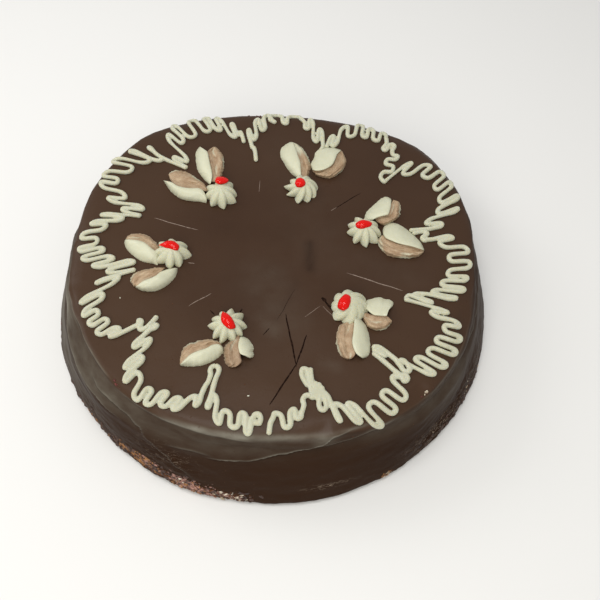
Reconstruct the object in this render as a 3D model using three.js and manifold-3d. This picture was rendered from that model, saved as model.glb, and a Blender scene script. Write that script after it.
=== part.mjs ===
// An uncut round quark cream cake under dark chocolate glaze. A white zigzag garland is piped in
// twelve scallops inside its rim. Six piped cream rosettes stand within the garland, each with two
// curled chocolate petals and a drop of red jelly.
// Millimetres, +Z up, origin at the centre of the foot, +Y towards the back.

import * as THREE from "three";
import { mergeVertices } from "three/addons/utils/BufferGeometryUtils.js";
import Module from "manifold-3d";

const wasm = await Module();
wasm.setup();

// Glazed body
const FOOT_RADIUS = 130;
const FOOT_ROUND = 2.5;
const CAKE_HEIGHT = 48;
const SHOULDER_RADIUS = 118;
const EDGE_WIDTH = 9;
const EDGE_DROP = 8;
const CREASE_STEP = 4;
const CREASE_HEIGHT = 33;
const BODY_SIDES = 72;
const EDGE_STEPS = 4;

// Slow waves of the hand-spread rim: whole waves in a turn, reach in mm, angle of a crest
const RIM_WAVES = [
  { turns: 1, reach: 1.5, crest: 162 },
  { turns: 2, reach: 0.8, crest: 28 },
  { turns: 3, reach: 1.7, crest: 30 },
  { turns: 4, reach: 3.8, crest: 46 },
];

// Slow waves of the foot, in the same terms
const FOOT_WAVES = [
  { turns: 1, reach: 0.9, crest: 170 },
  { turns: 2, reach: 0.8, crest: 80 },
];

// Piped bead of the garland
const BEAD_RADIUS = 1.9;
const BEAD_RISE = 2.6;
const BEAD_SIDES = 6;
const STROKE_JITTER = 0.18;

// The twelve scallops, counter-clockwise. Each starts at a cusp (angle, radius of its inner tip),
// swells to its crown radius, which lies late in the scallop when lag is above 1, and has so many
// zigzags of one stroke length along one heading. Strokes in breaks are not piped.
const SCALLOPS = [
  { cusp: 12, tip: 82, crown: 110.5, lag: 1.35, zigzags: 7, stroke: 10, heading: 30, breaks: [] },
  { cusp: 42.5, tip: 80, crown: 110, lag: 1.25, zigzags: 7, stroke: 8.5, heading: 80, breaks: [] },
  { cusp: 75.5, tip: 86, crown: 107, lag: 1, zigzags: 7, stroke: 8.5, heading: 98, breaks: [] },
  { cusp: 104.5, tip: 71, crown: 112, lag: 1.35, zigzags: 7, stroke: 11.5, heading: 128, breaks: [0, 1] },
  { cusp: 135.5, tip: 82, crown: 112.5, lag: 1, zigzags: 7, stroke: 12.5, heading: 165, breaks: [] },
  { cusp: 166.5, tip: 82, crown: 106, lag: 1, zigzags: 7, stroke: 10.5, heading: 186, breaks: [] },
  { cusp: 194.5, tip: 80, crown: 107, lag: 1, zigzags: 6, stroke: 9.5, heading: 212, breaks: [] },
  { cusp: 220, tip: 77, crown: 112, lag: 1.4, zigzags: 8, stroke: 8.5, heading: 250, breaks: [] },
  { cusp: 250.5, tip: 80, crown: 107, lag: 1, zigzags: 7, stroke: 9, heading: 266, breaks: [7] },
  { cusp: 283.5, tip: 77, crown: 111.5, lag: 1.3, zigzags: 7, stroke: 11.5, heading: 318, breaks: [] },
  { cusp: 311.5, tip: 80, crown: 108.5, lag: 1, zigzags: 7, stroke: 11.5, heading: 345, breaks: [] },
  { cusp: 337.5, tip: 77, crown: 103.5, lag: 1.4, zigzags: 7, stroke: 11.5, heading: 365, breaks: [] },
];
const SCALLOP_FULLNESS = 0.6;
const CUSP_CROWDING = 0.35;

// Star-nozzle rosettes
const ROSETTE_RADIUS = 9.6;
const ROSETTE_HEIGHT = 9.5;
const ROSETTE_LOBES = 9;
const ROSETTE_SIDES = 18;
const ROSETTE_LEVELS = 5;
const LOBE_DEPTH = 0.16;
const LOBE_TWIST = 0.55;

// Curled petals of two-coloured chocolate: two lobes with a crease between them
const CURL_HEIGHT = 8.5;
const CURL_STATIONS = 7;
const CURL_SIDES = 12;
const CREASE_DEPTH = 3.2;
const TIP_FULLNESS = 0.6;

// Jelly drops
const JELLY_SIDES = 8;
const JELLY_STATIONS = 6;
const JELLY_HEIGHT = 3.4;

// Gap left between neighbours that touch on the real cake, and the smallest step kept where beads meet
const GAP = 0.35;
const MERGE = 0.08;

// The six ornaments: place of the rosette, then its two petals (middle, heading, length, width) and
// its jelly (offset from the rosette, length, width, heading)
const ORNAMENTS = [
  {
    at: [-36, 37],
    curls: [
      { mid: [-45.3, 59.7], heading: 104, length: 24, width: 17 },
      { mid: [-57.3, 39], heading: 164, length: 26, width: 18 },
    ],
    jelly: { offset: [-0.3, 5], length: 7.5, width: 6, heading: 10 },
  },
  {
    at: [12, 45.5],
    curls: [
      { mid: [6.3, 66.8], heading: 101, length: 26, width: 17 },
      { mid: [27.4, 65], heading: 46, length: 24, width: 18 },
    ],
    jelly: { offset: [-1.5, -1.5], length: 7, width: 6, heading: 90 },
  },
  {
    at: [49, 15.5],
    curls: [
      { mid: [60, 29.5], heading: 47, length: 24, width: 17 },
      { mid: [69.8, 8.5], heading: -26, length: 27, width: 18 },
    ],
    jelly: { offset: [-0.6, -0.8], length: 9, width: 6, heading: 15 },
  },
  {
    at: [41, -37],
    curls: [
      { mid: [57, -41.5], heading: 4, length: 18, width: 18 },
      { mid: [43.3, -58.6], heading: -90, length: 24, width: 17 },
    ],
    jelly: { offset: [-3, -2], length: 10, width: 6.5, heading: 110 },
  },
  {
    at: [-22.5, -53.5],
    curls: [
      { mid: [-33.5, -71.7], heading: 204, length: 24, width: 15 },
      { mid: [-14.7, -69.5], heading: -76, length: 20, width: 15 },
    ],
    jelly: { offset: [-0.3, -1], length: 10, width: 6.5, heading: 125 },
  },
  {
    at: [-58.5, -8.5],
    curls: [
      { mid: [-75.5, -6.5], heading: 157, length: 23, width: 17 },
      { mid: [-66.5, -27.2], heading: 204, length: 27, width: 16 },
    ],
    jelly: { offset: [0, 0.5], length: 11, width: 6.5, heading: 165 },
  },
];

// Finishes
const glaze = new THREE.MeshStandardMaterial({ color: 0x4a382e, roughness: 0.45, metalness: 0 });
const cream = new THREE.MeshStandardMaterial({ color: 0xd9d6c0, roughness: 0.55, metalness: 0 });
const chocolate = new THREE.MeshStandardMaterial({ color: 0xcdbca2, roughness: 0.5, metalness: 0 });
const jelly = new THREE.MeshStandardMaterial({ color: 0xc81010, roughness: 0.12, metalness: 0 });

const TURN = 2 * Math.PI;
const radians = THREE.MathUtils.degToRad;
const lerp = THREE.MathUtils.lerp;

// A steady draw between -1 and 1 for a whole number
function draw(index) {
  const value = Math.sin(index * 12.9898 + 4.1414) * 43758.5453;
  return 2 * (value - Math.floor(value)) - 1;
}

// A closed skin from one pole to the other: place(along, around) gives each point, both in 0..1
function closedLoft(stations, sides, place) {
  const spine = [];
  for (let station = 0; station <= stations; station += 1) {
    spine.push(new THREE.Vector2(1, station));
  }
  const geometry = new THREE.LatheGeometry(spine, sides);
  const position = geometry.attributes.position;
  for (let index = 0; index < position.count; index += 1) {
    const along = (index % spine.length) / stations;
    const around = Math.floor(index / spine.length) % sides;
    const point = place(along, around / sides);
    position.setXYZ(index, point.x, point.y, point.z);
  }
  return geometry;
}

// A solid from a closed skin, turned right side out
function solidOf(geometry) {
  geometry.deleteAttribute("normal");
  geometry.deleteAttribute("uv");
  const merged = mergeVertices(geometry, 1e-4);
  const corners = merged.index.array;
  const kept = [];
  for (let index = 0; index < corners.length; index += 3) {
    const [a, b, c] = [corners[index], corners[index + 1], corners[index + 2]];
    if (a !== b && b !== c && c !== a) {
      kept.push(a, b, c);
    }
  }
  const vertProperties = new Float32Array(merged.attributes.position.array);
  const outward = new wasm.Manifold(
    new wasm.Mesh({ numProp: 3, vertProperties, triVerts: new Uint32Array(kept) }),
  );
  if (outward.volume() > 0) {
    return outward;
  }
  return new wasm.Manifold(
    new wasm.Mesh({ numProp: 3, vertProperties, triVerts: new Uint32Array(kept.reverse()) }),
  );
}

// The main piece of a solid, without the crumbs that a cut leaves
function mainPiece(solid) {
  const pieces = solid.decompose();
  return pieces.reduce((best, piece) => (piece.volume() > best.volume() ? piece : best));
}

// A named mesh from a solid
function meshOf(solid, name, material) {
  const result = solid.getMesh();
  const geometry = new THREE.BufferGeometry();
  const points = [];
  for (let index = 0; index < result.vertProperties.length; index += result.numProp) {
    points.push(...result.vertProperties.slice(index, index + 3));
  }
  geometry.setAttribute("position", new THREE.Float32BufferAttribute(points, 3));
  geometry.setIndex(Array.from(result.triVerts));
  geometry.computeVertexNormals();
  const mesh = new THREE.Mesh(geometry, material);
  mesh.name = name;
  return mesh;
}

// A radius that swells and shrinks round the cake with its slow waves
function wavyRadius(radius, waves, angle) {
  let wavy = radius;
  for (const wave of waves) {
    wavy += wave.reach * Math.cos(wave.turns * (angle - radians(wave.crest)));
  }
  return wavy;
}

// Height of the glazed top at a place, with its rounded edge
function topHeight(x, y) {
  const flat = wavyRadius(SHOULDER_RADIUS, RIM_WAVES, Math.atan2(y, x)) - EDGE_WIDTH;
  const over = THREE.MathUtils.clamp((Math.hypot(x, y) - flat) / EDGE_WIDTH, 0, 1);
  return CAKE_HEIGHT - EDGE_DROP * (1 - Math.sqrt(1 - over * over));
}

// Half outline of the body at one angle, from the middle of the foot to the middle of the top
function bodyOutline(angle) {
  const shoulder = wavyRadius(SHOULDER_RADIUS, RIM_WAVES, angle);
  const foot = wavyRadius(FOOT_RADIUS, FOOT_WAVES, angle);
  const crease = Math.min(shoulder + CREASE_STEP, foot - FOOT_ROUND);
  const outline = [
    [0, 0],
    [foot - FOOT_ROUND, 0],
    [foot, FOOT_ROUND],
    [lerp(foot, crease, 0.28), lerp(0, CREASE_HEIGHT, 0.38)],
    [lerp(foot, crease, 0.68), lerp(0, CREASE_HEIGHT, 0.75)],
    [crease, CREASE_HEIGHT],
  ];
  for (let step = 0; step <= EDGE_STEPS; step += 1) {
    const turn = (0.25 * TURN * step) / EDGE_STEPS;
    const radius = shoulder - EDGE_WIDTH * (1 - Math.cos(turn));
    outline.push([radius, CAKE_HEIGHT - EDGE_DROP * (1 - Math.sin(turn))]);
  }
  outline.push([0, CAKE_HEIGHT]);
  return outline;
}

function glazedBody() {
  const stations = bodyOutline(0).length - 1;
  const skin = closedLoft(stations, BODY_SIDES, (along, around) => {
    const angle = around * TURN;
    const [radius, height] = bodyOutline(angle)[Math.round(along * stations)];
    return new THREE.Vector3(radius * Math.cos(angle), radius * Math.sin(angle), height);
  });
  return solidOf(skin);
}

// A place on the glazed top
function onTop(x, y) {
  return new THREE.Vector3(x, y, topHeight(x, y));
}

// The turning point before a stroke, on the inner and the outer side by turns
function turningPoint(row, stroke) {
  const scallop = SCALLOPS[row];
  const next = SCALLOPS[(row + 1) % SCALLOPS.length];
  const end = next.cusp > scallop.cusp ? next.cusp : next.cusp + 360;
  const share = stroke / (2 * scallop.zigzags);
  const sweep = lerp(1 - 2 * share, Math.cos(Math.PI * share), CUSP_CROWDING);
  const angle = radians((scallop.cusp + end) / 2 - ((end - scallop.cusp) / 2) * sweep);
  const base = lerp(scallop.tip, next.tip, share) + scallop.stroke / 2;
  const swell = Math.max(0, Math.sin(Math.PI * share ** scallop.lag)) ** SCALLOP_FULLNESS;
  const radius = lerp(base, scallop.crown, swell);
  const reach = (scallop.stroke / 2) * (1 + STROKE_JITTER * draw(40 * row + stroke));
  const swing = stroke % 2 === 0 ? -reach : reach;
  const heading = radians(scallop.heading);
  const x = radius * Math.cos(angle) + swing * Math.cos(heading);
  const y = radius * Math.sin(angle) + swing * Math.sin(heading);
  return onTop(x, y);
}

// One stroke of the zigzag, a bead between two turning points that tapers off beyond both
function beadStroke(row, stroke) {
  const start = turningPoint(row, stroke);
  const end = turningPoint(row, stroke + 1);
  const ahead = new THREE.Vector3(end.x - start.x, end.y - start.y, 0).normalize();
  const middle = onTop(lerp(start.x, end.x, 0.5), lerp(start.y, end.y, 0.5));
  const nose = start.clone().addScaledVector(ahead, -BEAD_RADIUS);
  const tail = end.clone().addScaledVector(ahead, BEAD_RADIUS);
  const spine = [nose, start, middle, end, tail];
  const last = spine.length - 1;
  const skin = closedLoft(last, BEAD_SIDES, (along, around) => {
    const centre = spine[Math.round(along * last)].clone();
    const fullness = along === 0 || along === 1 ? 0 : 1;
    const turn = TURN * around;
    const across = BEAD_RADIUS * fullness * Math.cos(turn);
    centre.add(new THREE.Vector3(-ahead.y * across, ahead.x * across, 0));
    centre.z += BEAD_RISE * fullness * Math.sin(turn);
    return centre;
  });
  return solidOf(skin);
}

function garland() {
  const strokes = [];
  SCALLOPS.forEach((scallop, row) => {
    for (let stroke = 0; stroke < 2 * scallop.zigzags; stroke += 1) {
      if (!scallop.breaks.includes(stroke)) {
        strokes.push(beadStroke(row, stroke));
      }
    }
  });
  return wasm.Manifold.union(strokes);
}

// A rosette: lobed rings that close in and twist towards a low peak
function rosette(place, seed) {
  const skin = closedLoft(ROSETTE_LEVELS + 1, ROSETTE_SIDES, (along, around) => {
    const level = Math.max(0, (along * (ROSETTE_LEVELS + 1) - 1) / ROSETTE_LEVELS);
    const fullness = along === 0 ? 0 : Math.sqrt(1 - level) * (0.86 + 0.5 * level * (1 - level));
    const angle = around * TURN + LOBE_TWIST * level + seed;
    const lobe = 1 + LOBE_DEPTH * Math.cos(ROSETTE_LOBES * around * TURN);
    const radius = ROSETTE_RADIUS * fullness * lobe;
    return new THREE.Vector3(
      place[0] + radius * Math.cos(angle),
      place[1] + radius * Math.sin(angle),
      CAKE_HEIGHT + GAP + ROSETTE_HEIGHT * level,
    );
  });
  return solidOf(skin);
}

// A petal with its two lobes, or with a gap the filled space that it takes up
function petal(curl, gap) {
  const heading = radians(curl.heading);
  const skin = closedLoft(CURL_STATIONS, CURL_SIDES, (along, around) => {
    const pole = along === 0 || along === 1;
    const swell = pole ? 0 : Math.sin(Math.PI * along) ** TIP_FULLNESS;
    const margin = pole ? 0 : gap;
    const crease = gap === 0 && around === 0.25 ? CREASE_DEPTH * swell : 0;
    const across = ((curl.width / 2) * swell + margin) * Math.cos(TURN * around);
    const rise = ((CURL_HEIGHT / 2) * swell + margin) * Math.sin(TURN * around) - crease;
    const ahead = (along - 0.5) * (curl.length + 2 * gap);
    return new THREE.Vector3(
      curl.mid[0] + ahead * Math.cos(heading) - across * Math.sin(heading),
      curl.mid[1] + ahead * Math.sin(heading) + across * Math.cos(heading),
      CAKE_HEIGHT + GAP + CURL_HEIGHT / 2 + rise,
    );
  });
  return solidOf(skin);
}

function jellyDrop(ornament, grow) {
  const drop = ornament.jelly;
  const heading = radians(drop.heading);
  const skin = closedLoft(JELLY_STATIONS, JELLY_SIDES, (along, around) => {
    const polar = Math.PI * along;
    const ring = Math.sin(polar);
    const x = (drop.length / 2 + grow) * ring * Math.cos(around * TURN);
    const y = (drop.width / 2 + grow) * ring * Math.sin(around * TURN);
    return new THREE.Vector3(
      ornament.at[0] + drop.offset[0] + x * Math.cos(heading) - y * Math.sin(heading),
      ornament.at[1] + drop.offset[1] + x * Math.sin(heading) + y * Math.cos(heading),
      CAKE_HEIGHT + ROSETTE_HEIGHT - 0.6 - (JELLY_HEIGHT / 2 + grow) * Math.cos(polar),
    );
  });
  return solidOf(skin);
}

const cake = new THREE.Group();
cake.name = "quark_cream_cake";

let piping = garland();
ORNAMENTS.forEach((ornament, index) => {
  const number = index + 1;
  let flower = rosette(ornament.at, 0.4 * index);
  ornament.curls.forEach((curl, slot) => {
    const space = petal(curl, GAP);
    flower = flower.subtract(space);
    piping = piping.subtract(space);
    cake.add(meshOf(petal(curl, 0), `curl_${number}${"ab"[slot]}`, chocolate));
  });
  flower = flower.subtract(jellyDrop(ornament, GAP));
  cake.add(meshOf(mainPiece(flower).simplify(MERGE), `rosette_${number}`, cream));
  cake.add(meshOf(jellyDrop(ornament, 0), `jelly_${number}`, jelly));
});
const body = mainPiece(glazedBody().add(piping)).simplify(MERGE);
cake.add(meshOf(body, "cake", glaze));

export default cake;
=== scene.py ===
"""Quark cream cake: the looks of the part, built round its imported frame.

Sizes are in millimetres from the centre of the foot, with +Z up and the front at -Y.
A mesh becomes metres when it is finished.
"""
import logging
import math
from dataclasses import dataclass
from enum import Enum
from typing import Callable

import bmesh
import bpy
from mathutils import Matrix, Vector, noise


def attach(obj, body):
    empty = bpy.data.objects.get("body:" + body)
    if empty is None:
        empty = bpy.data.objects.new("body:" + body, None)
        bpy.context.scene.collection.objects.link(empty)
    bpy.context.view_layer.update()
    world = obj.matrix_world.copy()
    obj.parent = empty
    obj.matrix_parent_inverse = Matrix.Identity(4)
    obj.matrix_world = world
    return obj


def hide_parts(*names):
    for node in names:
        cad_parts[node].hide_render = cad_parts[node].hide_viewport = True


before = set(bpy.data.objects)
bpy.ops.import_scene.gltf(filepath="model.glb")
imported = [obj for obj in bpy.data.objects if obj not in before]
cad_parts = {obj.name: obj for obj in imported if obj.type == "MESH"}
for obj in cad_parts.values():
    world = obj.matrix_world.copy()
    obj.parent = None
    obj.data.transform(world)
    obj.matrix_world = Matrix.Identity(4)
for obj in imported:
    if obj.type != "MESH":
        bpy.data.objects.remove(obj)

LOG = logging.getLogger("quark_cream_cake")
MM = 0.001
TURN = 2.0 * math.pi
LAYER_STEP = 2.0

Pair = tuple[float, float]
Line = tuple[Pair, ...]
Socket = bpy.types.NodeSocket


def linear(code: str) -> tuple[float, float, float, float]:
    """Turns an sRGB hex colour to linear light.

    Args:
        code: The colour as "#RRGGBB".

    Returns:
        Linear red, green, blue and an alpha of one.
    """
    shares = [int(code[at:at + 2], 16) / 255.0 for at in (1, 3, 5)]
    low = [share / 12.92 for share in shares]
    high = [((share + 0.055) / 1.055) ** 2.4 for share in shares]
    red, green, blue = (
        dark if share <= 0.04045 else light for share, dark, light in zip(shares, low, high)
    )
    return (red, green, blue, 1.0)


def add_node(tree: bpy.types.NodeTree, kind: str, settings: dict, links: dict) -> bpy.types.Node:
    """Adds a node with its settings and links.

    Args:
        tree: The node tree that gets the node.
        kind: The node's type name.
        settings: Values by input name or number, or by the node's own property.
        links: Output sockets by the name or number of the input they feed.

    Returns:
        The new node.
    """
    made = tree.nodes.new(kind)
    for name, value in settings.items():
        if isinstance(name, int) or name in made.inputs:
            made.inputs[name].default_value = value
        else:
            setattr(made, name, value)
    for name, socket in links.items():
        tree.links.new(socket, made.inputs[name])
    return made


def lerp(start: float, end: float, share: float) -> float:
    """Blends from start to end by a share."""
    return start + (end - start) * share


def ease(share: float) -> float:
    """Turns a share from 0 to 1 into one that starts and ends gently."""
    held = min(max(share, 0.0), 1.0)
    return held * held * (3.0 - 2.0 * held)


def draw(index: float) -> float:
    """Gives a steady draw from -1 to 1 for an index."""
    value = math.sin(index * 12.9898 + 4.1414) * 43758.5453
    return 2.0 * (value - math.floor(value)) - 1.0


def outwards(angle: float) -> Vector:
    """Gives the level direction of an angle in radians."""
    return Vector((math.cos(angle), math.sin(angle), 0.0))


def level_at(line: Line, here: float) -> float:
    """Follows a line of levels that runs gently from each place to the next.

    Args:
        line: Pairs of a place and a level, in order.
        here: The place that is asked for.

    Returns:
        The level there, which past the line's end is its last.
    """
    for (left, low), (right, high) in zip(line, line[1:]):
        if here <= right:
            return lerp(low, high, ease((here - left) / (right - left)))
    return line[-1][1]


def turn_between(angle: float, centre: float) -> float:
    """Gives the shortest turn in degrees from a centre to an angle."""
    return (angle - centre + 180.0) % 360.0 - 180.0


def through(points: list[Vector], share: float, closed: bool) -> Vector:
    """Follows a smooth line through points.

    Args:
        points: The points that the line passes.
        share: The place along the line, counted in points from the first.
        closed: Whether the line returns to its first point.

    Returns:
        The point on the line.
    """
    count = len(points)
    last = count if closed else count - 1
    step = min(int(share), last - 1)
    local = share - step
    if closed:
        near = [points[(step + shift) % count] for shift in (-1, 0, 1, 2)]
    else:
        near = [points[min(max(step + shift, 0), count - 1)] for shift in (-1, 0, 1, 2)]
    first, start, end, after = near
    square = local * local
    cube = square * local
    return 0.5 * (
        2.0 * start
        + (end - first) * local
        + (2.0 * first - 5.0 * start + 4.0 * end - after) * square
        + (3.0 * start - first - 3.0 * end + after) * cube
    )


def sweep(bm: bmesh.types.BMesh, rings: int, sides: int, place: Callable[[int, int], Vector]) -> None:
    """Extrudes a ring step by step, puts its points in place and closes both ends.

    Args:
        bm: The mesh that gets the swept body.
        rings: The number of rings along the body.
        sides: The number of points in a ring.
        place: Gives the point of a ring's number and a side's number.
    """
    seat = bm.verts.layers.int.get("seat") or bm.verts.layers.int.new("seat")
    first = bmesh.ops.create_circle(bm, cap_ends=False, segments=sides, radius=1.0)["verts"]
    for number, vert in enumerate(first):
        vert[seat] = number
    edges = list({edge for vert in first for edge in vert.link_edges})
    rows = [first]
    for _ in range(rings - 1):
        made = bmesh.ops.extrude_edge_only(bm, edges=edges)["geom"]
        row = [part for part in made if isinstance(part, bmesh.types.BMVert)]
        inside = set(row)
        edges = [
            part for part in made
            if isinstance(part, bmesh.types.BMEdge) and inside.issuperset(part.verts)
        ]
        rows.append(row)
    for ring, row in enumerate(rows):
        for vert in row:
            vert.co = place(ring, vert[seat])
    for row in (rows[0], rows[-1]):
        middle = sum((vert.co for vert in row), Vector()) / sides
        bmesh.ops.pointmerge(bm, verts=row, merge_co=middle)


def to_object(bm: bmesh.types.BMesh, name: str, *finishes: bpy.types.Material) -> bpy.types.Object:
    """Finishes a mesh in millimetres as an object in metres at the origin.

    Args:
        bm: The mesh, which is freed.
        name: The object's name.
        finishes: The finishes that its faces name by number.

    Returns:
        The new object, linked to the scene.
    """
    bmesh.ops.recalc_face_normals(bm, faces=bm.faces)
    bmesh.ops.scale(bm, vec=(MM, MM, MM), verts=bm.verts)
    for face in bm.faces:
        face.smooth = True
    mesh = bpy.data.meshes.new(name)
    bm.to_mesh(mesh)
    bm.free()
    for finish in finishes:
        mesh.materials.append(finish)
    made = bpy.data.objects.new(name, mesh)
    bpy.context.scene.collection.objects.link(made)
    return made


def hand_over(piece: bpy.types.Object, nodes: list[str]) -> None:
    """Seats a piece in the frame and reports it.

    Args:
        piece: The finished piece.
        nodes: The nodes of the frame that the piece stands for, or none.
    """
    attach(piece, "root")
    if nodes:
        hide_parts(*nodes)
    LOG.info("%s: %d faces", piece.name, len(piece.data.polygons))


class FinishNodes:
    """A finish under way: its material, and the few kinds of node that the finishes share."""

    def __init__(self, name: str) -> None:
        """Starts an empty node material.

        Args:
            name: The material's name.
        """
        self.material: bpy.types.Material = bpy.data.materials.new(name)
        self.material.use_nodes = True
        self.tree: bpy.types.NodeTree = self.material.node_tree
        self.tree.nodes.clear()
        self.place: Socket = add_node(self.tree, "ShaderNodeTexCoord", {}, {}).outputs["Object"]

    def attribute(self, name: str, output: str = "Fac") -> Socket:
        """Reads an attribute of the piece."""
        return add_node(self.tree, "ShaderNodeAttribute", {"attribute_name": name}, {}).outputs[output]

    def scaled(self, place: Socket, scale: tuple[float, float, float]) -> Socket:
        """Scales the place that a pattern is read at, axis by axis."""
        return add_node(self.tree, "ShaderNodeMapping", {"Scale": scale}, {"Vector": place}).outputs[0]

    def cloud(self, size: float, detail: float, rough: float = 0.5, place: Socket | None = None) -> Socket:
        """Makes a cloudy pattern.

        Args:
            size: The size of its clouds, in the unit of the place.
            detail: The number of finer layers.
            rough: How strong the finer layers are.
            place: Where the pattern is read, or nothing for the place on the piece.

        Returns:
            The pattern's value.
        """
        settings = {"Scale": 1.0 / size, "Detail": detail, "Roughness": rough}
        links = {"Vector": self.place if place is None else place}
        return add_node(self.tree, "ShaderNodeTexNoise", settings, links).outputs["Fac"]

    def reckon(self, operation: str, *values: Socket | float, clamp: bool = False) -> Socket:
        """Works out a number from others.

        Args:
            operation: What is done with the values.
            values: Numbers, or sockets that give them, in order.
            clamp: Whether the result is held from 0 to 1.

        Returns:
            The result.
        """
        settings: dict = {"operation": operation, "use_clamp": clamp}
        links: dict = {}
        for number, value in enumerate(values):
            (settings if isinstance(value, float) else links)[number] = value
        return add_node(self.tree, "ShaderNodeMath", settings, links).outputs[0]

    def between(
        self, value: Socket, low: float, high: float, to_low: float = 0.0, to_high: float = 1.0
    ) -> Socket:
        """Maps one span of a value onto another and holds it there.

        Args:
            value: The value.
            low: Where the span starts.
            high: Where the span ends.
            to_low: The result at the start.
            to_high: The result at the end.

        Returns:
            The result.
        """
        settings = {"From Min": low, "From Max": high, "To Min": to_low, "To Max": to_high}
        return add_node(self.tree, "ShaderNodeMapRange", settings, {"Value": value}).outputs[0]

    def towards(self, share: Socket, value: Socket, goal: float) -> Socket:
        """Moves a number towards a goal by a share."""
        return add_node(self.tree, "ShaderNodeMix", {3: goal}, {0: share, 2: value}).outputs[0]

    def blend(self, share: Socket, low: Socket | str, high: Socket | str) -> Socket:
        """Blends two colours.

        Args:
            share: The share of the second colour.
            low: The first colour, as a code or from a node.
            high: The second colour, as a code or from a node.

        Returns:
            The blended colour.
        """
        settings: dict = {"data_type": "RGBA"}
        links: dict = {0: share}
        for number, tone in ((6, low), (7, high)):
            if isinstance(tone, str):
                settings[number] = linear(tone)
            else:
                links[number] = tone
        return add_node(self.tree, "ShaderNodeMix", settings, links).outputs[2]

    def bump(self, pattern: Socket, strength: float, depth: float, under: Socket | None = None) -> Socket:
        """Raises the surface by a pattern.

        Args:
            pattern: The pattern.
            strength: How much of the relief shows.
            depth: The relief's depth in millimetres.
            under: The relief that it lies on, or nothing.

        Returns:
            The relief.
        """
        settings = {"Strength": strength, "Distance": depth * MM}
        links = {"Height": pattern}
        if under is not None:
            links["Normal"] = under
        return add_node(self.tree, "ShaderNodeBump", settings, links).outputs[0]

    def done(self, settings: dict, links: dict) -> bpy.types.Material:
        """Closes the finish with its surface.

        Args:
            settings: The surface's values by input name.
            links: Sockets by the name of the surface's input that they feed.

        Returns:
            The material.
        """
        shader = add_node(self.tree, "ShaderNodeBsdfPrincipled", settings, links)
        add_node(self.tree, "ShaderNodeOutputMaterial", {}, {"Surface": shader.outputs[0]})
        return self.material


@dataclass(frozen=True)
class ChocolateGlaze:
    """Set dark chocolate glaze, poured and spread with a palette knife: satin, not mirror bright."""

    name: str
    sheen: float
    deep: str = "#37261B"
    warm: str = "#412E21"
    # Painted sheen: the top lighter towards its rim and its front left.
    outer: str = "#483628"
    # Painted shade: the wall below the lip darker than the top, with shade lines and strokes.
    wall: str = "#28170B"
    crumb: str = "#6B4630"
    scratch: str = "#8F7F6E"
    # Painted sheen: the grey of reflections on the wall and of highlights on the rim and the lips.
    painted_sheen_tone: str = "#757064"
    cloud_mm: float = 42.0
    grain_mm: float = 1.3
    streak_mm: float = 11.0
    crumb_mm: float = 1.6
    scratch_mm: float = 9.0
    lie: tuple[float, float, float] = (1.0, 1.0, 3.0)
    scratch_width: float = 0.012
    faint_sheen: float = 0.35
    top_gloss: Pair = (0.27, 0.38)
    wall_gloss: float = 0.55
    crumb_gloss: float = 0.85

    def make(self) -> bpy.types.Material:
        """Builds the glaze, with crumb dust, scratches, painted shade and painted sheen where the piece's
        attributes ask for them.

        Returns:
            The material.
        """
        nodes = FinishNodes(self.name)
        flat = nodes.scaled(nodes.place, self.lie)
        streak = nodes.cloud(self.streak_mm * MM, detail=4.0, rough=0.55, place=flat)
        speck = nodes.cloud(self.crumb_mm * MM, detail=3.0, rough=0.7)
        dusted = nodes.reckon("MULTIPLY_ADD", speck, 3.0, -1.5)
        dusted = nodes.between(nodes.reckon("ADD", dusted, nodes.attribute("dust")), 0.5, 0.85)
        ripple = nodes.cloud(self.scratch_mm * MM, detail=3.0, rough=0.6, place=flat)
        ripple = nodes.reckon("ABSOLUTE", nodes.reckon("SUBTRACT", ripple, 0.5))
        scored = nodes.between(ripple, self.scratch_width, 0.0)
        scored = nodes.reckon("MULTIPLY", scored, nodes.attribute("scratch"), clamp=True)
        # Painted sheen, broken up by the streaks: reflections on the wall, highlights on the rim and lips,
        # pale strokes on the top.
        sheen_share = nodes.between(streak, 0.25, 0.7, self.faint_sheen)
        sheen_share = nodes.reckon("MULTIPLY", sheen_share, nodes.attribute("painted_sheen"), clamp=True)
        # Painted shade on the wall, under the lips and in strokes on the top; the same mask dulls the
        # wall's gloss.
        wall = nodes.attribute("wall")
        brown = nodes.blend(nodes.cloud(self.cloud_mm * MM, detail=3.0), self.deep, self.warm)
        # The first coats paint sheen and shade; the scratches and crumb dust are the glaze's own.
        coats = (
            (nodes.attribute("outer"), self.outer), (wall, self.wall), (sheen_share, self.painted_sheen_tone),
            (scored, self.scratch), (dusted, self.crumb),
        )
        for share, tone in coats:
            brown = nodes.blend(share, brown, tone)
        gloss = nodes.between(streak, 0.3, 0.7, *self.top_gloss)
        gloss = nodes.towards(wall, gloss, self.wall_gloss)
        gloss = nodes.towards(dusted, gloss, self.crumb_gloss)
        relief = nodes.bump(nodes.cloud(self.grain_mm * MM, detail=2.0), strength=0.08, depth=0.5)
        relief = nodes.bump(streak, strength=0.12, depth=1.2, under=relief)
        relief = nodes.bump(dusted, strength=0.7, depth=1.0, under=relief)
        return nodes.done(
            {"IOR": 1.45, "Specular IOR Level": self.sheen},
            {"Base Color": brown, "Roughness": gloss, "Normal": relief},
        )


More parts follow.
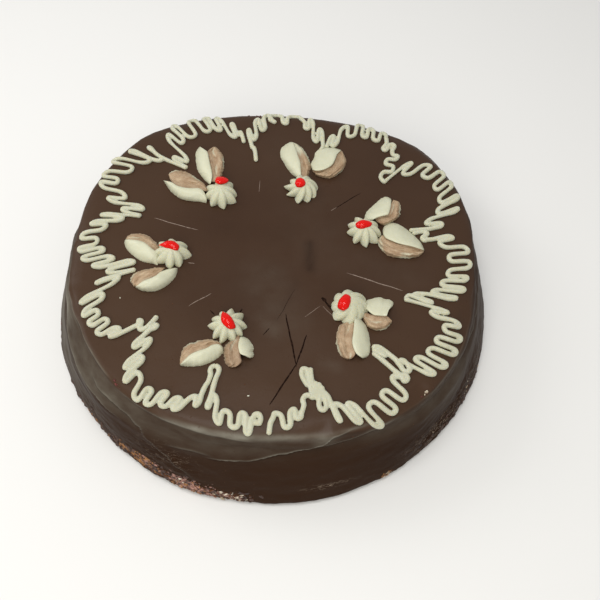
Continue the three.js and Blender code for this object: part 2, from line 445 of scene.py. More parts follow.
@dataclass(frozen=True)
class PipedCream:
    """White icing and whipped cream from a piping bag: soft, matt and a little see-through."""

    name: str
    light: str = "#BEBDA9"
    shade: str = "#B3B299"
    cloud_mm: float = 7.0
    grain_mm: float = 0.9
    gloss: float = 0.45

    def make(self) -> bpy.types.Material:
        """Builds the cream.

        Returns:
            The material.
        """
        nodes = FinishNodes(self.name)
        tint = nodes.blend(nodes.cloud(self.cloud_mm * MM, detail=3.0), self.shade, self.light)
        relief = nodes.bump(nodes.cloud(self.grain_mm * MM, detail=2.0), strength=0.2, depth=0.4)
        return nodes.done(
            {
                "Roughness": self.gloss, "IOR": 1.45, "Specular IOR Level": 0.25,
                "Subsurface Weight": 0.5, "Subsurface Scale": 1.5 * MM,
                "Subsurface Radius": (1.0, 0.8, 0.55),
            },
            {"Base Color": tint, "Normal": relief},
        )


@dataclass(frozen=True)
class TwoToneChocolate:
    """Scraped white and milk chocolate: the white rolls smooth, the brown tears into streaks."""

    white: str = "#C6C5AD"
    white_shade: str = "#BDBCA1"
    brown: str = "#8E7155"
    brown_pale: str = "#B8A386"
    # Painted shade in the brown leaf's crease; it also darkens the rim and some whole leaves.
    crease: str = "#6B5140"
    streak_mm: float = 2.4
    stretch: float = 0.28
    cloud_mm: float = 5.0
    gloss: Pair = (0.42, 0.62)

    def make(self) -> bpy.types.Material:
        """Builds the shaved chocolate from the piece's attributes.

        Returns:
            The material.
        """
        nodes = FinishNodes("two_tone_chocolate")
        lined = nodes.scaled(nodes.attribute("flow", "Vector"), (self.stretch, 1.0, 1.0))
        streak = nodes.cloud(self.streak_mm, detail=3.0, rough=0.5, place=lined)
        cloud = nodes.cloud(self.cloud_mm * MM, detail=3.0)
        pale = nodes.between(nodes.reckon("ADD", streak, cloud), 0.65, 1.4)
        milk = nodes.blend(pale, self.brown, self.brown_pale)
        ivory = nodes.blend(cloud, self.white_shade, self.white)
        frayed = nodes.reckon("MULTIPLY_ADD", streak, 0.5, -0.25)
        edge = nodes.between(nodes.reckon("ADD", frayed, nodes.attribute("brown")), 0.3, 0.7)
        tint = nodes.blend(edge, ivory, milk)
        # Painted shade in the crease, and the darkening of the brown leaf.
        tint = nodes.blend(nodes.attribute("crease"), tint, self.crease)
        relief = nodes.bump(nodes.reckon("MULTIPLY", streak, edge), strength=0.25, depth=0.6)
        gloss = nodes.between(edge, 0.0, 1.0, *self.gloss)
        return nodes.done(
            {
                "IOR": 1.45, "Specular IOR Level": 0.4, "Subsurface Weight": 0.1,
                "Subsurface Scale": 0.8 * MM, "Subsurface Radius": (1.0, 0.8, 0.55),
            },
            {"Base Color": tint, "Roughness": gloss, "Normal": relief},
        )


@dataclass(frozen=True)
class RedJelly:
    """Set berry jelly: wet, bright and deep, with small sharp highlights."""

    bright: str = "#D8120A"
    deep: str = "#BC0A05"
    cloud_mm: float = 4.0

    def make(self) -> bpy.types.Material:
        """Builds the jelly.

        Returns:
            The material.
        """
        nodes = FinishNodes("red_berry_jelly")
        cloud = nodes.cloud(self.cloud_mm * MM, detail=2.0)
        tint = nodes.blend(cloud, self.deep, self.bright)
        return nodes.done(
            {
                "Roughness": 0.05, "IOR": 1.36, "Specular IOR Level": 0.34, "Subsurface Weight": 0.3,
                "Subsurface Scale": 1.5 * MM, "Subsurface Radius": (1.0, 0.12, 0.06),
            },
            {"Base Color": tint, "Normal": nodes.bump(cloud, strength=0.15, depth=0.5)},
        )


@dataclass(frozen=True)
class SpongeCrumb:
    """Baked sponge broken into crumbs: porous, a little moist and never quite matt."""

    name: str
    light: str
    dark: str
    pore_mm: float = 0.8
    bake_mm: float = 2.6

    def make(self) -> bpy.types.Material:
        """Builds the crumb.

        Returns:
            The material.
        """
        nodes = FinishNodes(self.name)
        pore = nodes.cloud(self.pore_mm * MM, detail=3.0, rough=0.7)
        bake = nodes.reckon("MULTIPLY_ADD", nodes.cloud(self.bake_mm * MM, detail=1.0), 2.4, -1.2)
        tint = nodes.blend(nodes.reckon("ADD", bake, pore, clamp=True), self.dark, self.light)
        return nodes.done(
            {"Roughness": 0.5, "Specular IOR Level": 0.5},
            {"Base Color": tint, "Normal": nodes.bump(pore, strength=0.7, depth=0.4)},
        )


@dataclass(frozen=True)
class Wave:
    """One slow swell of an outline: how often it turns, how far it reaches and where it crests."""

    turns: int
    reach: float
    crest: float

    def at(self, angle: float) -> float:
        """Gives the swell in millimetres at an angle in radians."""
        return self.reach * math.cos(self.turns * (angle - math.radians(self.crest)))


@dataclass(frozen=True)
class Fold:
    """A lip where one pour of glaze ends over another.

    Its line is given as pairs of an angle in degrees and a height up the profile, and
    the glaze above the line stands proud by its depth.
    """

    line: Line
    depth: float
    soft: float = 0.6
    reach: float = 9.0
    # How strong the painted highlight and shade lines along the lip are.
    shine: float = 0.5
    taper: float = 7.0

    def over(self, degrees: float, height: float) -> Pair:
        """Finds a place against the lip's line.

        Args:
            degrees: The angle round the cake.
            height: The height up the profile.

        Returns:
            How far the place lies over the line, and how full the lip is at that angle.
        """
        start, end = self.line[0][0], self.line[-1][0]
        here = start + (degrees - start) % 360.0
        if here > end:
            return 0.0, 0.0
        full = ease((here - start) / self.taper) * ease((end - here) / self.taper)
        return height - level_at(self.line, here), full

    def at(self, degrees: float, height: float) -> float:
        """Gives how far the glaze stands out at a place.

        Args:
            degrees: The angle round the cake.
            height: The height up the profile.

        Returns:
            The relief in millimetres.
        """
        over, full = self.over(degrees, height)
        rise = ease(over / self.soft + 0.5)
        fall = 1.0 - ease((over - self.soft) / self.reach)
        return self.depth * full * rise * fall

    def edge(self, degrees: float, height: float, over: float) -> float:
        """Gives how near a place is to a line that runs along the lip's own; such lines paint a highlight
        over the lip and a shade under it.

        Args:
            degrees: The angle round the cake.
            height: The height up the profile.
            over: How far that line lies over the lip's own.

        Returns:
            A share of the lip's shine, which sets how strong the painted line is.
        """
        gap, full = self.over(degrees, height)
        near = (gap - over) / self.soft
        return self.shine * full * math.exp(-near * near)


@dataclass(frozen=True)
class Patch:
    """A soft-edged spot on the glaze, by angle in degrees and height up the profile."""

    angle: float
    height: float
    wide: float
    tall: float
    strength: float

    def at(self, degrees: float, height: float) -> float:
        """Gives the spot's strength at a place on the glaze.

        Args:
            degrees: The angle round the cake.
            height: The height up the profile.

        Returns:
            The strength, which fades out softly.
        """
        across = turn_between(degrees, self.angle) / self.wide
        up = (height - self.height) / self.tall
        return self.strength * math.exp(-across * across - up * up)


@dataclass(frozen=True)
class PaintedLightStroke:
    """A soft stroke on the top that changes the glaze's tone: the pale strokes paint sheen and the dark
    ones paint shadow.
    """

    start: Pair
    end: Pair
    width: float
    strength: float

    def at(self, spot: Vector) -> float:
        """Gives how strong the stroke is at a place on the top.

        Args:
            spot: The place.

        Returns:
            The strength, which fades out softly.
        """
        start, end = Vector(self.start), Vector(self.end)
        along = end - start
        share = min(max((spot.xy - start).dot(along) / along.length_squared, 0.0), 1.0)
        near = (spot.xy - start.lerp(end, share)).length / self.width
        return self.strength * math.exp(-near * near)


@dataclass(frozen=True)
class Drag:
    """A stretch of wall where the knife dragged the setting glaze into long slanting ripples."""

    angle: float
    spread: float
    slope: float
    depth: float
    long: float = 46.0
    tall: float = 8.0
    reach: float = 127.0
    fade: float = 2.2

    def at(self, degrees: float, height: float) -> float:
        """Gives the ripples' relief at a place on the wall.

        Args:
            degrees: The angle round the cake.
            height: The height up the profile.

        Returns:
            The relief in millimetres.
        """
        turn = turn_between(degrees, self.angle)
        share = turn / self.spread
        if abs(share) > self.fade:
            return 0.0
        arc = math.radians(turn) * self.reach
        ripple = Vector((arc / self.long, (height - self.slope * arc) / self.tall, self.angle))
        return self.depth * math.exp(-share * share) * noise.fractal(ripple, 0.9, LAYER_STEP, 2)


@dataclass(frozen=True)
class Lumps:
    """Uneven relief all round the wall: its depth, its turns round the cake and its height."""

    depth: float
    turns: float
    tall: float
    rough: float
    layers: int

    def at(self, outward: Vector, way: float) -> float:
        """Gives the relief in millimetres in a direction and at a way up the profile."""
        spot = outward * self.turns + Vector((0.0, 0.0, way / self.tall))
        return self.depth * noise.fractal(spot, self.rough, LAYER_STEP, self.layers)


def total(parts: tuple[Patch | Fold | Drag, ...], degrees: float, way: float) -> float:
    """Adds up what patches, folds or drags give at a place on the glaze."""
    return sum(part.at(degrees, way) for part in parts)


@dataclass
class GlazedBody:
    """The cake under its glaze: a low drum with a rounded edge, a wavy rim and a crumbed foot."""

    foot_radius: float = 130.0
    foot_round: float = 2.5
    height: float = 48.0
    shoulder_radius: float = 118.0
    edge_width: float = 9.0
    edge_drop: float = 8.0
    crease_step: float = 4.0
    crease_height: float = 33.0
    sides: int = 640
    side_rings: int = 80
    edge_rings: int = 28
    top_rings: int = 34
    edge_length: float = 13.0
    corner: float = 2.0
    corner_waves: tuple[Wave, ...] = (Wave(2, 0.8, 175.0),)
    corner_reach: float = 1.3
    wall_start: float = 2.0
    lip_line: Line = (
        (0, 46), (30, 47.5), (60, 45.5), (90, 47), (120, 45.5), (150, 47), (180, 45.5), (195, 46),
        (203, 47.6), (211, 49.6), (222, 50), (234, 49.2), (248, 48.2), (262, 46.8), (280, 45.4),
        (291, 45), (297, 43.4), (303, 43.4), (308, 44.2), (312, 43.8), (316, 46), (322, 45.3),
        (330, 43.8), (338, 43.6), (346, 45.2), (360, 46),
    )
    rim_waves: tuple[Wave, ...] = (
        Wave(1, 1.5, 162), Wave(2, 0.8, 28), Wave(3, 1.7, 30), Wave(4, 3.8, 46),
    )
    foot_waves: tuple[Wave, ...] = (Wave(1, 0.9, 170), Wave(2, 0.8, 80))
    foot_dents: tuple[Patch, ...] = (
        Patch(224, 0, 8, 1, 1.2), Patch(352, 0, 7, 1, 0.8),
    )
    folds: tuple[Fold, ...] = (
        Fold(((256, 31), (266, 33), (275, 36.6), (281, 38.6), (284, 40.5), (288, 44.5),
              (294, 47)), 1.5, 0.5, 9, 1.2),
        Fold(((186, 45), (195, 46), (203, 47.6), (211, 49.5), (220, 50.2), (230, 50)),
             0.4, 0.5, 3, 0.7),
        Fold(((230, 48.6), (240, 47.6), (250, 46.6), (258, 45.4), (270, 44)),
             0.5, 0.5, 3, 0.4),
        Fold(((278, 37.6), (286, 38.6), (291, 40.2), (298, 42), (307, 43)), 0.7),
        Fold(((326, 41), (334, 38.5), (342, 36.5), (350, 36), (358, 37)), 1.3),
        Fold(((168, 33), (184, 36.5), (195, 39.5), (201, 39.8), (206, 37.6), (212, 36.8), (224, 36.8),
              (236, 34)), 1.5),
        Fold(((220, 42), (229, 41), (236, 39.5), (240, 37), (243, 31.5), (247, 25.5), (251, 18.5),
              (256, 10)), 1.2),
        Fold(((246, 32.5), (253, 34.2), (260, 32.5)), 0.7),
        Fold(((8, 37), (25, 41), (45, 37.5), (64, 32)), 1.2),
        Fold(((66, 35), (88, 40), (114, 36)), 1.2),
        Fold(((116, 33), (136, 38.5), (162, 34)), 1.2),
    )
    drags: tuple[Drag, ...] = (
        Drag(212, 24, -0.2, 0.5), Drag(312, 14, 0.3, 0.5), Drag(345, 18, -0.3, 0.5),
        Drag(40, 28, 0.15, 0.5), Drag(96, 26, -0.15, 0.5), Drag(150, 26, 0.15, 0.5),
    )
    rough_patches: tuple[Patch, ...] = (
        Patch(330, 15, 14, 10, 1), Patch(319, 9, 9, 7, 1.2), Patch(246, 20, 9, 10, 0.8),
        Patch(225, 16, 12, 10, 0.6), Patch(20, 14, 14, 10, 0.7), Patch(75, 16, 14, 10, 0.8),
        Patch(130, 14, 14, 10, 0.8),
    )
    crumb_patches: tuple[Patch, ...] = (
        Patch(240, 7, 7, 5, 0.9), Patch(252, 5, 6, 5, 1), Patch(262, 4, 7, 5, 0.9),
        Patch(300, 3, 3, 3, 0.6), Patch(330, 5, 12, 5, 0.4), Patch(25, 4, 9, 5, 0.8),
        Patch(70, 5, 12, 5, 0.8), Patch(120, 4, 10, 5, 0.9), Patch(160, 4, 9, 4, 0.7),
        Patch(195, 3, 9, 3, 0.6),
    )
    scratch_patches: tuple[Patch, ...] = (
        Patch(246, 24, 7, 8, 0.6), Patch(285, 12.5, 5, 1.6, 1.4), Patch(315, 10, 8, 8, 1.2),
        Patch(334, 11, 12, 7, 1.2), Patch(60, 20, 12, 9, 0.6), Patch(140, 18, 12, 9, 0.6),
    )
    # Painted sheen: grey reflections on the wall; negative patches take it away in lines under the lips.
    wall_sheen_patches: tuple[Patch, ...] = (
        Patch(187, 22, 14, 28, 0.56), Patch(210, 26, 14, 20, 0.38), Patch(201, 43, 6, 4, 0.9),
        Patch(228, 43, 13, 8, 0.44), Patch(194, 35.5, 8, 1.3, -0.45), Patch(206, 32.5, 9, 1.5, -0.45),
        Patch(219, 28, 9, 1.8, -0.4), Patch(231, 33, 7, 1.5, -0.35), Patch(214, 38, 10, 1.2, 0.15),
        Patch(192, 22, 10, 1.5, 0.2), Patch(260, 41, 20, 7, 0.27), Patch(285, 43, 3, 4, 0.3),
        Patch(304, 39, 12, 5, 0.26), Patch(324, 37, 12, 9, 0.24), Patch(342, 32, 11, 14, 0.08),
        Patch(322, 27, 7, 7, 0.14), Patch(326, 12, 11, 7, -0.6), Patch(30, 30, 20, 14, 0.4),
        Patch(75, 34, 20, 10, 0.3), Patch(130, 32, 20, 12, 0.4),
    )
    # Painted shade: the wall below the lip is darkened all round, more in these patches.
    wall_shade_share: float = 0.7
    wall_shade_patches: tuple[Patch, ...] = (
        Patch(312, 17, 16, 14, 0.3), Patch(245, 22, 8, 8, 0.2), Patch(206, 32.5, 9, 1.5, 0.3),
        Patch(219, 28, 9, 1.8, 0.3), Patch(100, 16, 30, 12, 0.25),
    )
    # Painted sheen in pale strokes on the top, and painted shadow in dark ones.
    sheen_strokes: tuple[PaintedLightStroke, ...] = (
        PaintedLightStroke((-6, -20), (8, -48), 14, 0.09), PaintedLightStroke((-6, -48), (2, -54), 3.5, 0.12),
        PaintedLightStroke((2, 78), (20, 20), 20, 0.03), PaintedLightStroke((22, 0), (74, -15), 13, 0.035),
        PaintedLightStroke((28, -71), (35, -73), 3, 0.1),
    )
    shadow_strokes: tuple[PaintedLightStroke, ...] = (
        PaintedLightStroke((18, 5), (19, -12), 3, 0.8), PaintedLightStroke((-34, 12), (6, 12), 9, 0.12),
        PaintedLightStroke((12, -22), (3, -46), 2.2, 0.2),
    )
    # Painted sheen: the top lighter towards its rim and its front left.
    front_sheen_share: float = 0.5
    front_sheen_heading: float = 235.0
    front_sheen_swing: float = 0.45
    front_sheen_start: float = 40.0
    front_sheen_run: float = 50.0
    lip_soft: float = 1.4
    # Where the painted shade line runs under each lip and the painted highlight line over it.
    fold_shade: float = -0.6
    fold_shine: float = 0.3
    wall_bow: float = 1.15
    wall_fade: float = 8.0
    wall_out: float = 0.96
    wall_up: float = 0.26
    foot_hold: float = 2.0
    spread: Lumps = Lumps(0.7, 5.0, 14.0, 1.0, 3)
    lumps: Lumps = Lumps(0.12, 13.0, 9.0, 0.9, 2)
    flakes: Lumps = Lumps(0.5, 48.0, 2.4, 0.7, 3)
    rags: Lumps = Lumps(1.0, 34.0, 4.0, 0.6, 3)
    rag_depth: float = 0.2
    loose_depth: float = 0.7
    rag_height: float = 10.0
    swell_depth: float = 0.3
    swell_size: float = 38.0
    swell_level: float = 3.0
    swell_start: float = 8.0
    halvings: int = 14
    weld: float = 0.001
    # Painted highlights along the rim.
    rim_highlight_patches: tuple[Patch, ...] = (
        Patch(252, 47.8, 6, 1.4, 0.95), Patch(263, 47, 7, 1.8, 1.05), Patch(276, 46.5, 7, 1.8, 0.95),
        Patch(286, 45, 3, 2.2, 0.5), Patch(293, 47, 4, 1.1, 0.6), Patch(205, 47.2, 8, 0.8, 0.3),
        Patch(325, 44.6, 14, 0.8, 0.3), Patch(60, 46, 10, 1, 0.4), Patch(120, 46, 10, 1, 0.4),
    )

    @property
    def edge_foot(self) -> float:
        """Gives the way up the profile where the wall ends and the edge starts."""
        return self.height - self.edge_drop

    @property
    def edge_top(self) -> float:
        """Gives the way up the profile where the edge ends and the flat top starts."""
        return self.edge_foot + self.edge_length

    def shoulder(self, angle: float) -> float:
        """Gives the rim's radius at an angle in radians."""
        return self.shoulder_radius + sum(wave.at(angle) for wave in self.rim_waves)

    def foot(self, angle: float) -> float:
        """Gives the foot's radius at an angle in radians."""
        dent = total(self.foot_dents, math.degrees(angle) % 360.0, 0.0)
        return self.foot_radius - dent + sum(wave.at(angle) for wave in self.foot_waves)

    def top_height(self, across: float, back: float) -> float:
        """Gives the height of the glazed top.

        Args:
            across: The place to the right of the centre.
            back: The place behind the centre.

        Returns:
            The height over the foot.
        """
        angle = math.atan2(back, across)
        flat = self.shoulder(angle) - self.edge_width
        over = min(max((math.hypot(across, back) - flat) / self.edge_width, 0.0), 1.0)
        low, high = 0.0, 1.0
        for _ in range(self.halvings):
            middle = (low + high) / 2.0
            if self.edge_point(angle, middle).x < over:
                low = middle
            else:
                high = middle
        return self.height - self.edge_drop * self.edge_point(angle, low).y

    def lip(self, angle: float) -> float:
        """Gives how far up the profile the edge turns, at an angle in radians."""
        return level_at(self.lip_line, math.degrees(angle) % 360.0)

    def corner_lift(self, angle: float) -> float:
        """Gives how far over the middle of the edge, or under it, the corner lies, as a share."""
        half = self.edge_length / 2.0
        return (self.lip(angle) - self.edge_foot - half) / half * self.corner_reach

    def edge_point(self, angle: float, step: float) -> Vector:
        """Gives a point of the edge.

        Args:
            angle: The angle round the cake in radians.
            step: The step from the flat top, at 0, over the lip to the wall, at 1.

        Returns:
            The shares of the edge's width outwards and of its drop.
        """
        high = self.corner_lift(angle)
        sharp = self.corner + sum(wave.at(angle) for wave in self.corner_waves)
        pull = 2.0 * sharp * step * (1.0 - step)
        whole = (1.0 - step) ** 2 + pull + step * step
        out = pull * (1.0 - max(high, 0.0)) + step * step
        return Vector((out / whole, (pull * max(-high, 0.0) + step * step) / whole, 0.0))

    def side_radius(self, angle: float, level: float) -> float:
        """Gives the radius of the side wall.

        Args:
            angle: The angle round the cake in radians.
            level: The height over the foot.

        Returns:
            The radius of the wall before its relief.
        """
        foot, shoulder = self.foot(angle), self.shoulder(angle)
        crease = min(shoulder + self.crease_step, foot - self.foot_round)
        if level < self.foot_round:
            return foot - self.foot_round * (1.0 - level / self.foot_round) ** 2
        if level < self.crease_height:
            share = (level - self.foot_round) / (self.crease_height - self.foot_round)
            return lerp(foot, crease, share ** self.wall_bow)
        rise = self.edge_foot - self.crease_height
        share = (level - self.crease_height) / rise
        start = self.wall_bow * (crease - foot) / (self.crease_height - self.foot_round) * rise
        end = -max(self.corner_lift(angle), 0.0) * self.edge_width / self.edge_drop * rise
        bend = ease(share)
        square = share * share
        swing = start * (square * share - 2.0 * square + share) + end * (square * share - square)
        return lerp(crease, shoulder, bend) + swing

    def relief(self, angle: float, way: float) -> float:
        """Gives how far the glaze stands out from its plain form.

        Args:
            angle: The angle round the cake in radians.
            way: The way up the profile, which goes on over the edge and the top.

        Returns:
            The relief in millimetres, outwards.
        """
        degrees = math.degrees(angle) % 360.0
        out = total(self.folds, degrees, way)
        if way < self.edge_top:
            outward = outwards(angle)
            wall = 1.0 - ease((way - self.edge_top + self.wall_fade) / self.wall_fade)
            out += wall * (self.spread.at(outward, way) + self.lumps.at(outward, way))
            out += wall * total(self.drags, degrees, way)
            out += wall * total(self.rough_patches, degrees, way) * self.flakes.at(outward, way)
            loose = min(total(self.crumb_patches, degrees, way), 1.0)
            ragged = (self.rag_depth + self.loose_depth * loose) * (1.0 - ease(way / self.rag_height))
            out += ragged * self.rags.at(outward, way)
        return out

    def surface(self, angle: float, way: float) -> Vector:
        """Gives a point of the glazed surface.

        Args:
            angle: The angle round the cake in radians.
            way: The way up the profile; below zero it runs in under the foot.

        Returns:
            The point in millimetres.
        """
        outward = outwards(angle)
        edge_foot, edge_top = self.edge_foot, self.edge_top
        if way < 0.0:
            return outward * self.side_radius(angle, 0.0) * (1.0 + way)
        if way <= edge_foot:
            normal = outward * self.wall_out + Vector((0.0, 0.0, self.wall_up))
            point = outward * self.side_radius(angle, way) + Vector((0.0, 0.0, way))
            return point + normal * self.relief(angle, way) * ease(way / self.foot_hold)
        flat = self.shoulder(angle) - self.edge_width
        if way <= edge_top:
            lip = self.lip(angle)
            if way < lip:
                step = 1.0 - 0.5 * (way - edge_foot) / (lip - edge_foot)
            else:
                step = 0.5 * (edge_top - way) / (edge_top - lip)
            lean = (1.0 - step) * math.pi / 2.0
            normal = outward * math.cos(lean) + Vector((0.0, 0.0, math.sin(lean)))
            edge = self.edge_point(angle, step)
            point = outward * (flat + self.edge_width * edge.x)
            point.z = self.height - self.edge_drop * edge.y
            return point + normal * self.relief(angle, way)
        inwards = 1.0 - (way - edge_top) / self.flat_length()
        point = outward * flat * inwards
        spot = Vector((point.x, point.y, self.swell_level)) / self.swell_size
        swell = self.swell_depth * noise.fractal(spot, 0.9, LAYER_STEP, 3)
        point.z = self.height + swell * ease((1.0 - inwards) * self.swell_start) + self.relief(angle, way)
        return point

    def flat_length(self) -> float:
        """Gives the length of the profile from the edge to the middle of the top."""
        return self.shoulder_radius - self.edge_width

    def ways(self) -> list[float]:
        """Lists the places of the rings along the profile, from under the foot to the middle."""
        spans = (
            (0.0, self.edge_foot, self.side_rings), (self.edge_foot, self.edge_length, self.edge_rings),
            (self.edge_top, self.flat_length(), self.top_rings),
        )
        rings = [start + length * step / count for start, length, count in spans for step in range(count)]
        return [-1.0, -0.5] + rings + [self.edge_top + self.flat_length()]

    def build(self, glaze: bpy.types.Material, wall_glaze: bpy.types.Material) -> None:
        """Spins the profile, shapes the glaze and marks its crumbs, scratches, painted shade and painted
        sheen.

        Args:
            glaze: The finish of the top and its edge.
            wall_glaze: The duller finish of the wall below the lip.
        """
        bm = bmesh.new()
        names = ("dust", "scratch", "wall", "painted_sheen", "outer")
        dust, scratch, wall, painted_sheen, outer = (bm.verts.layers.float.new(name) for name in names)
        below = bm.verts.layers.int.new("below")
        ways = self.ways()
        chain = [bm.verts.new((1.0, 0.0, float(number))) for number in range(len(ways))]
        edges = [bm.edges.new(pair) for pair in zip(chain, chain[1:])]
        bmesh.ops.spin(
            bm, geom=chain + edges, cent=(0.0, 0.0, 0.0), axis=(0.0, 0.0, 1.0), angle=TURN,
            steps=self.sides, use_merge=True,
        )
        for vert in bm.verts:
            angle = math.atan2(vert.co.y, vert.co.x)
            way = ways[round(vert.co.z)]
            degrees = math.degrees(angle) % 360.0
            lip = self.lip(angle)
            under = 1.0 - ease((way - lip) / self.lip_soft + 0.5)
            vert.co = self.surface(angle, way)
            vert[below] = int(way < lip - self.wall_start)
            vert[dust] = total(self.crumb_patches, degrees, way)
            vert[scratch] = total(self.scratch_patches, degrees, way)
            # Painted shade: the wall darkened below the lip, with a shade line under each lip.
            dark = self.wall_shade_share + total(self.wall_shade_patches, degrees, way)
            vert[wall] = dark * under + sum(fold.edge(degrees, way, self.fold_shade) for fold in self.folds)
            # Painted sheen: grey reflections on the wall, highlights on the rim and a highlight line over
            # each lip.
            dull = max(total(self.wall_sheen_patches, degrees, way), 0.0) * under
            shine = sum(fold.edge(degrees, way, self.fold_shine) for fold in self.folds)
            vert[painted_sheen] = dull + total(self.rim_highlight_patches, degrees, way) + shine
            # Painted sheen: the top lighter towards its rim and its front left.
            heading = math.cos(angle - math.radians(self.front_sheen_heading))
            facing = 1.0 - self.front_sheen_swing + self.front_sheen_swing * heading
            far = ease((vert.co.xy.length - self.front_sheen_start) / self.front_sheen_run)
            vert[outer] = self.front_sheen_share * facing * far * (1.0 - under)
            # Painted sheen and painted shadow in strokes on the top.
            if way > self.edge_top:
                vert[painted_sheen] += sum(light_stroke.at(vert.co) for light_stroke in self.sheen_strokes)
                vert[wall] += sum(light_stroke.at(vert.co) for light_stroke in self.shadow_strokes)
        bmesh.ops.remove_doubles(bm, verts=bm.verts, dist=self.weld)
        for face in bm.faces:
            face.material_index = min(vert[below] for vert in face.verts)
        hand_over(to_object(bm, "glazed_body", glaze, wall_glaze), ["cake"])


@dataclass(frozen=True)
class FrontSight:
    """Finds the place in space of a spot that is read off the front view at one level."""

    eye: tuple[float, float, float]
    level: float = 50.0

    def at(self, spot: Vector, height: float) -> Vector:
        """Follows the sight line through a spot to a height.

        Args:
            spot: The spot across and back, where its sight line crosses the reading level.
            height: The height over the foot.

        Returns:
            The point of the sight line at that height.
        """
        eye = Vector(self.eye)
        seen = Vector((spot.x, spot.y, self.level))
        return eye.lerp(seen, (eye.z - height) / (eye.z - self.level))


